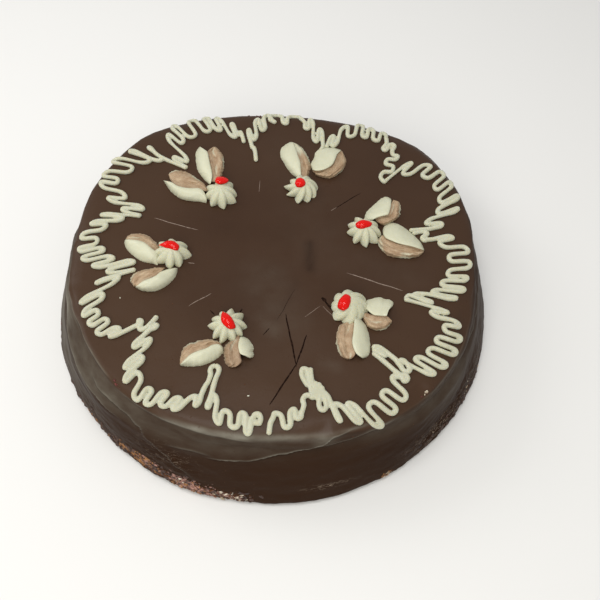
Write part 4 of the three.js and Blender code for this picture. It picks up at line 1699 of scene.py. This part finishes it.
@dataclass
class Ornaments:
    """The six ornaments in a ring on the top."""

    body: GlazedBody
    sight: FrontSight
    plans: tuple[OrnamentPlan, ...] = (
        OrnamentPlan(
            (-36, 37), 8, 1.1, 1, 0.3, (0.2, 6), (8.2, 7.2), 10, 0, 0,
            CurlPlan(
                Leaf(((-43, 44), (-42.6, 50), (-43.4, 55), (-44.9, 60), (-46.6, 66), (-48.3, 71.2),
                      (-53.3, 75.3)),
                     ((-44, 44), (-48.3, 49.3), (-51.5, 54), (-53.5, 60), (-54.7, 66), (-55, 71),
                      (-53.3, 75.3))),
                Leaf(((-41.5, 46), (-42, 51), (-42.9, 56), (-44.3, 61), (-45.8, 66), (-46.9, 71),
                      (-44.6, 75.9)),
                     ((-38, 46), (-37, 51), (-36.6, 56), (-36.7, 61), (-37.4, 66), (-39.6, 71.5),
                      (-43.6, 75.9)), 4.8, 0.42),
            ),
            CurlPlan(
                Leaf(((-43.5, 33), (-46, 38), (-49, 40.6), (-53.5, 40.5), (-58, 40.6), (-62.5, 41.8),
                      (-66.5, 44.3), (-71.4, 45.3)),
                     ((-43.5, 29.2), (-47, 30.1), (-51, 30.2), (-55.5, 30.7), (-59.5, 31.8),
                      (-63.5, 34.8), (-67, 38.6), (-71.4, 45.3))),
                Leaf(((-44, 38.8), (-47, 40), (-50, 41.2), (-54, 40.8), (-58, 41), (-62, 42), (-66, 45),
                      (-68.8, 49.6)),
                     ((-44, 39.6), (-46.8, 44.6), (-50, 47.2), (-54, 50.2), (-58, 53), (-62.5, 54),
                      (-67, 53.5), (-69.2, 50.4)), 4.8, 0.5),
            ),
        ),
        OrnamentPlan(
            (12, 45.5), 9, 1.25, 1, 0.8, (-1.5, -0.6), (7.2, 6.2), 100, 0, 0,
            CurlPlan(
                Leaf(((11, 53), (10.8, 57), (10.3, 62), (9.7, 67), (8, 72.4), (6.4, 78), (4.4, 83.9)),
                     ((8, 53.5), (4.8, 56.8), (2.2, 60.6), (-0.3, 65.6), (-2.6, 70.6), (-2.6, 78),
                      (2.6, 84))),
                Leaf(((11.4, 53), (11.2, 57), (10.6, 62), (10, 67), (8.3, 72.4), (6.7, 78), (4.6, 83.8)),
                     ((14.6, 53), (15.4, 57), (16.4, 62), (15.7, 67), (14.2, 72), (10.6, 79),
                      (5.2, 83.4)), 4.4, 0.3, fade=0.6),
            ),
            CurlPlan(
                Leaf(((17.3, 61), (20.5, 60.4), (25, 62), (29.3, 65.8), (31.2, 70.6), (32.4, 75.4),
                      (34.8, 79.2)),
                     ((17.3, 61.6), (16.2, 65.4), (18, 71), (18.9, 76), (22.5, 80), (29, 81),
                      (34.8, 79.4)), 6),
                Leaf(((17.4, 60.8), (20.6, 60.2), (25.2, 61.8), (29.6, 65.6), (31.5, 70.4), (32.7, 75.2),
                      (35, 79)),
                     ((17.4, 60.4), (19.6, 57), (24.6, 54.9), (29, 55.2), (34.8, 60.2), (38.1, 69.2),
                      (35.6, 78.2)), 5),
            ),
        ),
        OrnamentPlan(
            (49, 15.5), 9, 1.25, 1, 0.3, (-0.6, 0.2), (9.6, 5.8), 12, 0.2, 0,
            CurlPlan(
                Leaf(((53, 23), (57, 26), (60.6, 27.6), (63.2, 28.8), (64.3, 32), (65, 36), (65.4, 40.6)),
                     ((49, 24), (50.4, 29.4), (53.4, 33.8), (56.6, 37.8), (59.6, 41.2), (62.2, 42.6),
                      (64.8, 41.6))),
                Leaf(((55.5, 23.8), (58.5, 26.6), (61.5, 27.8), (64, 29), (65, 32), (65.8, 36),
                      (67.4, 40.4)),
                     ((56.5, 22.4), (60.4, 20.5), (65, 23), (68.4, 26), (70.2, 30), (70.7, 35),
                      (70, 39.3)), 4.6, 0.3),
            ),
            CurlPlan(
                Leaf(((59.8, 13.6), (61.4, 11), (64, 9.6), (67.5, 8), (71.5, 6.9), (75.5, 6.1), (79.5, 5),
                      (83.2, 3.6)),
                     ((59.6, 16.5), (61.2, 20.3), (65, 22.6), (69, 21.8), (73, 19), (77.6, 14.4),
                      (81.4, 9.4), (83.3, 3.8)), 6.2),
                Leaf(((59.8, 13.2), (61.2, 10.8), (63.8, 9.4), (67.4, 7.8), (71.4, 6.7), (75.4, 5.9),
                      (79.4, 4.8), (83, 3.4)),
                     ((59.2, 13.2), (56.3, 8.2), (58.4, 3.2), (62.4, -1.4), (68, -2.6), (74, -2.5),
                      (79.6, -0.8), (83.2, 3)), 5.2, 0.7),
            ),
        ),
        OrnamentPlan(
            (41, -37), 8, 1.9, 0.42, 0.9, (-3, -1), (9.8, 6.3), 70, -0.25, 0,
            CurlPlan(
                Leaf(((49, -37), (51.5, -39.6), (54, -41.6), (57, -41.9), (59, -42), (61, -41.6),
                      (61.4, -39.4), (62.6, -37.2)),
                     ((49, -33.2), (52, -31.8), (55, -30.6), (57.6, -30), (60, -31), (62.8, -31.3),
                      (64.7, -33), (64.2, -35.6)), 5.4),
                Leaf(((48, -41.5), (50.4, -41.6), (52.6, -42.4), (55.5, -42.3), (58.4, -42),
                      (60.8, -42.4), (63.8, -44.6)),
                     ((48, -42.6), (49.4, -46.6), (51.6, -49.8), (55.6, -51), (59.6, -50.2),
                      (62.4, -47.6), (63.8, -44.9)), 4.8, 0.45),
            ),
            CurlPlan(
                Leaf(((44, -43), (43.6, -48), (43.2, -53), (42.7, -58), (43.2, -62), (44.8, -65.6),
                      (48, -68.2)),
                     ((46, -43), (49.6, -48), (51.2, -53), (51.9, -58), (52, -62.6), (51.2, -66.2),
                      (48.8, -68.1)), 5.8),
                Leaf(((42.6, -44.5), (42.8, -49), (42.2, -54), (41.9, -58), (42.3, -62), (43.4, -66),
                      (41.6, -69.2)),
                     ((41.6, -45), (36.2, -49.2), (34.7, -54), (34.4, -58.6), (35, -63), (36.8, -67.4),
                      (40.2, -69.3)), 5.2, 0.34),
            ),
        ),
        OrnamentPlan(
            (-22.5, -53.5), 10, 1, 1, 0.2, (-0.2, 0.2), (12.4, 5.7), 124, 1.5, -0.9,
            CurlPlan(
                Leaf(((-23.6, -66.2), (-26, -64.8), (-29, -65.4), (-32, -67.6), (-35.5, -69.2),
                      (-39, -71.3), (-41.6, -74.4), (-43.8, -78)),
                     ((-22.6, -68.8), (-24.6, -72.2), (-28, -75.1), (-31.6, -77.2), (-35.4, -78.3),
                      (-38.6, -78.6), (-41.4, -78.6), (-43.8, -78.3))),
                Leaf(((-24, -65.6), (-26.2, -64.6), (-29.2, -65.2), (-32.2, -67.3), (-35.7, -68.9),
                      (-39.2, -71), (-41.9, -74), (-43.9, -77.8)),
                     ((-24.2, -65), (-26.6, -63), (-30.5, -62.3), (-34.6, -62.9), (-38.6, -64.5),
                      (-42.4, -66.6), (-44.1, -71), (-44, -77.6)), 4.8, 0.5),
            ),
            CurlPlan(
                Leaf(((-15.2, -59.6), (-15.7, -62.4), (-15.8, -65), (-15.2, -67.6), (-14.2, -69.7),
                      (-11.6, -70.8), (-9.4, -71.8)),
                     ((-13.6, -59.4), (-11, -60.8), (-9.2, -63), (-7.7, -65.8), (-7.9, -68),
                      (-7.2, -70.2), (-8.4, -71.9)), 5.4),
                Leaf(((-16, -58.8), (-16, -62), (-16.1, -65), (-15.4, -68.2), (-14.9, -71.4),
                      (-14.2, -74.6), (-16.4, -77.6)),
                     ((-17.2, -59.2), (-19.8, -62.2), (-22.4, -65.2), (-23, -69), (-22, -73),
                      (-20.6, -76.4), (-18, -78)), 5.2, 0.5, 0.3),
            ),
        ),
        OrnamentPlan(
            (-58.5, -8.5), 8, 1.15, 1, 0.4, (-0.6, 1.6), (12, 5.7), 170, 1.5, 1.3,
            CurlPlan(
                Leaf(((-65, -9.2), (-67.4, -7.8), (-70.4, -5.6), (-73.4, -3), (-76.6, -1.3),
                      (-79.6, -0.8), (-82.6, -0.6), (-85.6, -0.8)),
                     ((-64.5, -17.6), (-68, -16.4), (-71.6, -16), (-75.4, -14.5), (-79, -12),
                      (-82.6, -8.8), (-85.2, -4.8), (-85.9, -1.4)), 6),
                Leaf(((-65.2, -8.8), (-67.6, -7.3), (-70.6, -5.1), (-73.6, -2.6), (-76.8, -0.9),
                      (-79.8, -0.4), (-82.8, -0.3), (-85.5, -0.4)),
                     ((-65, -5.6), (-67.4, -2.6), (-70, 0), (-73, 2.4), (-76.8, 3.9), (-81, 3.7),
                      (-84, 2.6), (-85.5, 0)), 4.6, 0.45),
            ),
            CurlPlan(
                Leaf(((-55, -18.4), (-59, -19.8), (-62.4, -21.6), (-64.6, -24.2), (-67.6, -26.4),
                      (-70.4, -28), (-72.2, -29.8), (-74.2, -32.4)),
                     ((-53.4, -18.4), (-53.6, -22.6), (-55.2, -27), (-58, -30.8), (-61.6, -33.7),
                      (-65.6, -35), (-70.4, -34.7), (-74.4, -32.8)), 6),
                Leaf(((-60.6, -18.9), (-62.4, -20.6), (-64.2, -22.8), (-67, -25.2), (-70, -27.2),
                      (-71.8, -28.8), (-73.2, -30.8), (-74.6, -32.2)),
                     ((-61, -18.5), (-64.6, -18.9), (-68.2, -19.9), (-72, -21), (-75.4, -22.8),
                      (-77.7, -25.8), (-77.6, -29), (-75.2, -32.4)), 5, 0.12),
            ),
        ),
    )
    jelly_sink: float = 0.6

    def build(
        self, cream: bpy.types.Material, chocolate: bpy.types.Material, jelly: bpy.types.Material
    ) -> None:
        """Makes every rosette, curl and drop.

        Args:
            cream: The finish of the rosettes.
            chocolate: The finish of the curls.
            jelly: The finish of the drops.
        """
        floor = self.body.height
        for number, plan in enumerate(self.plans, start=1):
            rosette = Rosette(number, plan.at, floor, plan.lobes, plan.point, plan.depth, plan.twist)
            rosette.build(cream)
            for letter, curl in (("a", plan.first), ("b", plan.second)):
                ChocolateCurl(
                    f"chocolate_curl_{number}{letter}", f"curl_{number}{letter}", curl, self.sight,
                    floor, number * 2.0 + (letter == "b"),
                ).build(chocolate)
            middle = (plan.at[0] + plan.jelly_offset[0], plan.at[1] + plan.jelly_offset[1])
            JellyDrop(
                number, plan.at, middle, *plan.jelly_size, plan.jelly_heading,
                floor + rosette.height - self.jelly_sink, plan.jelly_tail, plan.jelly_bow,
            ).build(jelly)


class ScoreTone(Enum):
    """How a score mark reads on the glaze: a dark furrow or a pale scraped line."""

    FURROW = "#160B06"
    SCRAPE = "#85756A"


@dataclass(frozen=True)
class ScoreMark:
    """A mark left on the top by a knife, from one place to another."""

    start: Pair
    end: Pair
    tone: ScoreTone
    width: float = 0.8


@dataclass(frozen=True)
class ScoredGlaze:
    """Glaze laid open by a knife: the same chocolate, dull and without its skin."""

    tone: ScoreTone
    whole: str = "#36241A"
    grit_mm: float = 1.5

    def make(self) -> bpy.types.Material:
        """Builds the scored glaze.

        Returns:
            The material.
        """
        nodes = FinishNodes(f"scored_glaze_{self.tone.name.lower()}")
        bared = nodes.between(nodes.cloud(self.grit_mm * MM, detail=2.0), 0.25, 0.55, 0.4)
        tint = nodes.blend(bared, self.whole, self.tone.value)
        return nodes.done({"Roughness": 0.8, "Specular IOR Level": 0.05}, {"Base Color": tint})


@dataclass
class ScoreMarks:
    """The portion marks and slips of a knife on the top."""

    body: GlazedBody
    rise: float = 0.22
    sink: float = 0.1
    blunt: float = 0.4
    drift: float = 0.5
    drift_size: float = 9.0
    uneven: float = 0.4
    uneven_size: float = 2.5
    rings: int = 24
    sides: int = 8
    marks: tuple[ScoreMark, ...] = (
        ScoreMark((6.8, -41), (15.2, -76), ScoreTone.FURROW, 1.1),
        ScoreMark((19.4, -54), (14, -75), ScoreTone.FURROW, 1),
        ScoreMark((15.4, -71), (2, -97.6), ScoreTone.FURROW, 1.1),
        ScoreMark((29, 30), (48, 47), ScoreTone.FURROW, 0.7),
        ScoreMark((26, -31), (28.6, -33.6), ScoreTone.FURROW, 2.8),
        ScoreMark((27, -32), (34, -41), ScoreTone.FURROW, 1.6),
        ScoreMark((-33, -43), (-30, -46), ScoreTone.FURROW, 0.9),
        ScoreMark((-16, -41), (-17.5, -45), ScoreTone.FURROW, 0.9),
        ScoreMark((-0.5, -52), (-4, -57), ScoreTone.FURROW, 0.6),
        ScoreMark((38, -13), (72, -24), ScoreTone.SCRAPE),
        ScoreMark((-74, 18), (-45, 10), ScoreTone.SCRAPE, 0.6),
        ScoreMark((-45, -42), (-33, -32), ScoreTone.SCRAPE, 0.6),
        ScoreMark((-49, -13), (-45, -13), ScoreTone.SCRAPE, 0.6),
        ScoreMark((-14, 52), (-14, 42), ScoreTone.SCRAPE, 0.4),
        ScoreMark((29.5, 30.5), (34, 34.5), ScoreTone.SCRAPE, 0.4),
        # This faint dark mark paints a shadow band; a shadow stroke lies along it.
        ScoreMark((12, -25), (2.5, -48), ScoreTone.FURROW, 0.25),
        ScoreMark((17, -44.5), (26.5, -36), ScoreTone.SCRAPE, 0.35),
        ScoreMark((26.5, -36), (33, -43), ScoreTone.SCRAPE, 0.3),
    )

    def build(self) -> None:
        """Draws the marks of each tone as one piece of low slender ridges."""
        for tone in ScoreTone:
            bm = bmesh.new()
            for mark in self.marks:
                if mark.tone is tone:
                    self.draw_mark(bm, mark)
            piece = to_object(bm, f"score_marks_{tone.name.lower()}", ScoredGlaze(tone).make())
            hand_over(piece, [])

    def draw_mark(self, bm: bmesh.types.BMesh, mark: ScoreMark) -> None:
        """Sweeps one mark along the top.

        Args:
            bm: The mesh that gets the mark.
            mark: The mark's place, tone and width.
        """
        start, end = Vector((*mark.start, 0.0)), Vector((*mark.end, 0.0))
        ahead = (end - start).normalized()
        aside = Vector((-ahead.y, ahead.x, 0.0))

        def place(ring: int, side: int) -> Vector:
            """Puts a point of the mark on the glaze.

            Args:
                ring: The ring's number along the mark.
                side: The point's number round the ring.

            Returns:
                The point in millimetres.
            """
            share = ring / (self.rings - 1)
            slim = max(4.0 * share * (1.0 - share), 0.0) ** self.blunt
            here = start.lerp(end, share)
            drift = self.drift * noise.noise(here / self.drift_size)
            angle = math.atan2(here.y, here.x)
            flat = self.body.shoulder(angle) - self.body.edge_width
            way = self.body.edge_top + self.body.flat_length() * (1.0 - here.length / flat)
            here.z = self.body.surface(angle, way).z
            turn = TURN * side / self.sides
            uneven = 1.0 + self.uneven * noise.noise(here / self.uneven_size)
            broad = mark.width / 2.0 * slim * uneven
            high = math.sin(turn) * self.rise * slim - self.sink
            return here + aside * (drift + broad * math.cos(turn)) + Vector((0.0, 0.0, high))

        sweep(bm, self.rings, self.sides, place)


@dataclass(frozen=True)
class CrumbKind:
    """A kind of crumb: its two tones, where it gathers, how many there are and how large."""

    name: str
    light: str
    dark: str
    patches: tuple[Patch, ...]
    count: int
    small: float
    large: float


@dataclass
class FootCrumbs:
    """Crumbs of sponge, filling and icing that stick to the glaze, most of them round the foot; pale specks
    along the right foot paint glints.
    """

    body: GlazedBody
    kinds: tuple[CrumbKind, ...] = (
        CrumbKind("golden", "#A8733C", "#3F2413", (
            Patch(241.5, 8.5, 2.4, 3.4, 2.2), Patch(236, 7, 2.6, 4, 0.5), Patch(253, 5, 3.5, 3, 1.2),
            Patch(300.5, 4, 0.9, 1.6, 0.35), Patch(226, 4.5, 7, 2.5, 0.6), Patch(22, 4, 7, 3, 0.9),
            Patch(72, 5, 8, 3, 0.9), Patch(122, 4, 7, 3, 0.9), Patch(160, 4, 6, 3, 0.6),
        ), 430, 0.2, 1.05),
        CrumbKind("pink", "#A87C6C", "#40241C", (
            Patch(251.5, 7.5, 2.2, 3, 1.5), Patch(256, 5.5, 3.4, 3.2, 1.7), Patch(243, 10, 2, 2.5, 0.6),
            Patch(262, 5, 4, 2.5, 0.6), Patch(60, 5, 10, 3, 0.8), Patch(130, 5, 9, 3, 0.8),
        ), 400, 0.2, 1.05),
        CrumbKind("pale", "#DCD2BF", "#8F7C62", (
            Patch(262.5, 4.5, 2.4, 2.2, 1), Patch(265, 4.5, 1.2, 2, 0.5), Patch(251, 6, 1, 2.5, 0.3),
            # Pale specks at 331 degrees paint glints on the right foot; the other pale patches are crumbs.
            Patch(301, 4, 0.8, 1.2, 0.3), Patch(331, 8, 9, 5, 0.2), Patch(312.5, 47.5, 1.4, 0.8, 0.1),
            Patch(45, 4, 9, 2.5, 0.4), Patch(110, 4, 9, 2.5, 0.5),
        ), 110, 0.25, 1.1),
        CrumbKind("glazed", "#513324", "#1F100A", (
            Patch(232, 6, 6, 4.5, 1.2), Patch(243, 7.5, 5, 5, 1), Patch(254, 6.5, 6, 4.5, 1.2),
            Patch(264, 5, 4, 3, 0.6), Patch(218, 4, 8, 3, 0.8), Patch(320, 7, 8, 4.5, 1.1),
            Patch(335, 7, 7, 4.5, 0.9), Patch(60, 5, 10, 3, 0.6), Patch(130, 5, 9, 3, 0.6),
        ), 420, 0.3, 1.3),
        CrumbKind("berry", "#6A2A22", "#2E0E0C", (
            Patch(230, 50, 1.6, 0.8, 1), Patch(313, 48, 1.4, 0.7, 0.35), Patch(196, 12, 3, 3, 0.5),
            Patch(100, 46, 2, 1, 0.7),
        ), 16, 0.3, 0.8),
        CrumbKind("icing", "#D6D5C2", "#B9B8A0", (
            Patch(264.9, 67.4, 0.01, 0.01, 1), Patch(205.4, 72, 0.01, 0.01, 1),
        ), 2, 0.35, 0.6),
    )
    shell: int = 2
    stretch: float = 0.9
    tumble: float = 0.9
    sink: float = 0.25
    clear: float = 2.4
    scatter: float = 0.9
    mostly_small: float = 1.6
    torn: float = 0.55
    torn_turns: float = 1.5
    broad: float = 0.75
    broad_change: float = 0.25
    thick: float = 0.7
    tip: float = 0.25
    kind_seed: float = 1000.0
    patch_seed: float = 97.0

    def build(self) -> None:
        """Scatters every kind of crumb as one piece."""
        for number, kind in enumerate(self.kinds):
            bm = bmesh.new()
            weight = sum(patch.strength for patch in kind.patches)
            for patch_number, patch in enumerate(kind.patches):
                seed = self.kind_seed * number + self.patch_seed * patch_number
                for bit in range(round(kind.count * patch.strength / weight)):
                    self.drop(bm, kind, patch, seed + bit)
            finish = SpongeCrumb(f"{kind.name}_sponge_crumb", kind.light, kind.dark).make()
            piece = to_object(bm, f"foot_crumbs_{kind.name}", finish)
            hand_over(piece, [])

    def drop(self, bm: bmesh.types.BMesh, kind: CrumbKind, patch: Patch, seed: float) -> None:
        """Sticks one crumb to the glaze.

        Args:
            bm: The mesh that gets the crumb.
            kind: The kind of crumb.
            patch: The place where it gathers.
            seed: The number that all its draws come from.
        """
        spread = [draw(seed * 1.7 + step) + draw(seed * 2.3 + step + 0.5) for step in (1.0, 2.0)]
        angle = math.radians(patch.angle + patch.wide * spread[0] * self.scatter)
        size = lerp(kind.small, kind.large, abs(draw(seed * 3.1)) ** self.mostly_small)
        way = max(patch.height + patch.tall * spread[1] * self.scatter, self.clear * size)
        made = bmesh.ops.create_icosphere(bm, subdivisions=self.shell, radius=size)["verts"]
        for vert in made:
            spot = vert.co / size * self.torn_turns + Vector((seed, 0.0, 0.0))
            vert.co *= 1.0 + self.torn * noise.fractal(spot, 0.8, LAYER_STEP, 3)
        length = 1.0 + self.stretch * abs(draw(seed + 0.9))
        broad = self.broad + self.broad_change * draw(seed + 0.3)
        squash = Matrix.Diagonal((length, broad, self.thick, 1.0))
        roll = Matrix.Rotation(self.tumble * draw(seed + 0.7), 4, "Z")
        outward = outwards(angle)
        seat = self.body.surface(angle, way) - outward * self.sink * size
        facing = outward + Vector((0.0, 0.0, self.tip))
        tilt = facing.to_track_quat("Z", "Y").to_matrix().to_4x4()
        lay = Matrix.Translation(seat) @ tilt @ roll @ squash
        bmesh.ops.transform(bm, matrix=lay, verts=made)


@dataclass(frozen=True)
class SoftLight:
    """A square soft light: its name, place, side and power, and the colour of its light."""

    name: str
    stand: tuple[float, float, float]
    size: float
    power: float
    colour: str

    def hang(self) -> None:
        """Hangs the light so that it faces the cake."""
        data = bpy.data.lights.new(self.name, "AREA")
        data.shape = "SQUARE"
        data.size = self.size * MM
        data.energy = self.power
        data.color = linear(self.colour)[:3]
        light = bpy.data.objects.new(self.name, data)
        place = Vector(self.stand)
        light.location = place * MM
        light.rotation_euler = (-place).to_track_quat("-Z", "Y").to_euler()
        bpy.context.scene.collection.objects.link(light)


@dataclass
class Studio:
    """A pale floor, soft light and a camera that looks down on the front of the cake."""

    floor_half: float = 3000.0
    floor_colour: str = "#DFDEDB"
    fibre_mm: float = 3.0
    lens: float = 42.14
    sensor: float = 36.0
    nearest: float = 10.0
    elevation: float = 56.5
    distance: float = 436.6
    aim: tuple[float, float, float] = (14.5, -1.7, 0.0)
    roll: float = 3.33
    sky: str = "#FFFFFF"
    sky_strength: float = 0.6
    lights: tuple[SoftLight, ...] = (
        SoftLight("overhead_softbox", (-100.0, -40.0, 850.0), 400.0, 3.0, "#FFFFFF"),
        SoftLight("left_softbox", (-700.0, 250.0, 600.0), 400.0, 2.0, "#FFFFFF"),
        SoftLight("front_softbox", (-200.0, -780.0, 600.0), 420.0, 3.2, "#FFFCF4"),
    )

    def lay_floor(self) -> None:
        """Lays the floor."""
        nodes = FinishNodes("pale_paper")
        material = nodes.done(
            {"Base Color": linear(self.floor_colour), "Roughness": 0.9, "Specular IOR Level": 0.1},
            {"Normal": nodes.bump(nodes.cloud(self.fibre_mm * MM, detail=2.0), strength=0.03, depth=0.3)},
        )
        bm = bmesh.new()
        bmesh.ops.create_grid(bm, x_segments=2, y_segments=2, size=self.floor_half)
        to_object(bm, "floor", material)

    def eye(self) -> Vector:
        """Gives the camera's place in millimetres."""
        lift = math.radians(self.elevation)
        return Vector(self.aim) + Vector((0.0, -math.cos(lift), math.sin(lift))) * self.distance

    def set_camera(self) -> None:
        """Sets the camera at the angle of the front view."""
        lift, tilt = math.radians(self.elevation), math.radians(self.roll)
        away = Vector((0.0, -math.cos(lift), math.sin(lift)))
        level = Vector((1.0, 0.0, 0.0))
        upright = Vector((0.0, math.sin(lift), math.cos(lift)))
        right = level * math.cos(tilt) + upright * math.sin(tilt)
        up = upright * math.cos(tilt) - level * math.sin(tilt)
        data = bpy.data.cameras.new("front_view")
        data.lens = self.lens
        data.sensor_width = self.sensor
        data.clip_start = self.nearest * MM
        camera = bpy.data.objects.new("front_view", data)
        turn = Matrix((right, up, away)).transposed().to_4x4()
        camera.matrix_world = Matrix.Translation(self.eye() * MM) @ turn
        bpy.context.scene.collection.objects.link(camera)
        bpy.context.scene.camera = camera

    def build(self) -> None:
        """Sets up the floor, the light and the camera."""
        self.lay_floor()
        self.set_camera()
        for light in self.lights:
            light.hang()
        world = bpy.data.worlds.new("studio_air")
        world.use_nodes = True
        sky = world.node_tree.nodes["Background"]
        sky.inputs["Color"].default_value = linear(self.sky)
        sky.inputs["Strength"].default_value = self.sky_strength
        bpy.context.scene.world = world
        bpy.context.scene.view_settings.view_transform = "Standard"


def main() -> None:
    """Builds the cake in order."""
    logging.basicConfig(level=logging.INFO, format="%(message)s")
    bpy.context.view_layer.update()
    studio = Studio()
    studio.build()
    body = GlazedBody()
    body.build(
        ChocolateGlaze("dark_chocolate_glaze", sheen=0.13).make(),
        ChocolateGlaze("dull_chocolate_glaze", sheen=0.055).make(),
    )
    sight = FrontSight(tuple(studio.eye()))
    Garland(body, FrontSight(sight.eye, level=48.7)).build(PipedCream("white_icing").make())
    Ornaments(body, sight).build(
        PipedCream("whipped_cream", light="#C2C1AA", shade="#B6B599").make(),
        TwoToneChocolate().make(), RedJelly().make(),
    )
    ScoreMarks(body).build()
    FootCrumbs(body).build()


if __name__ == "__main__":
    main()
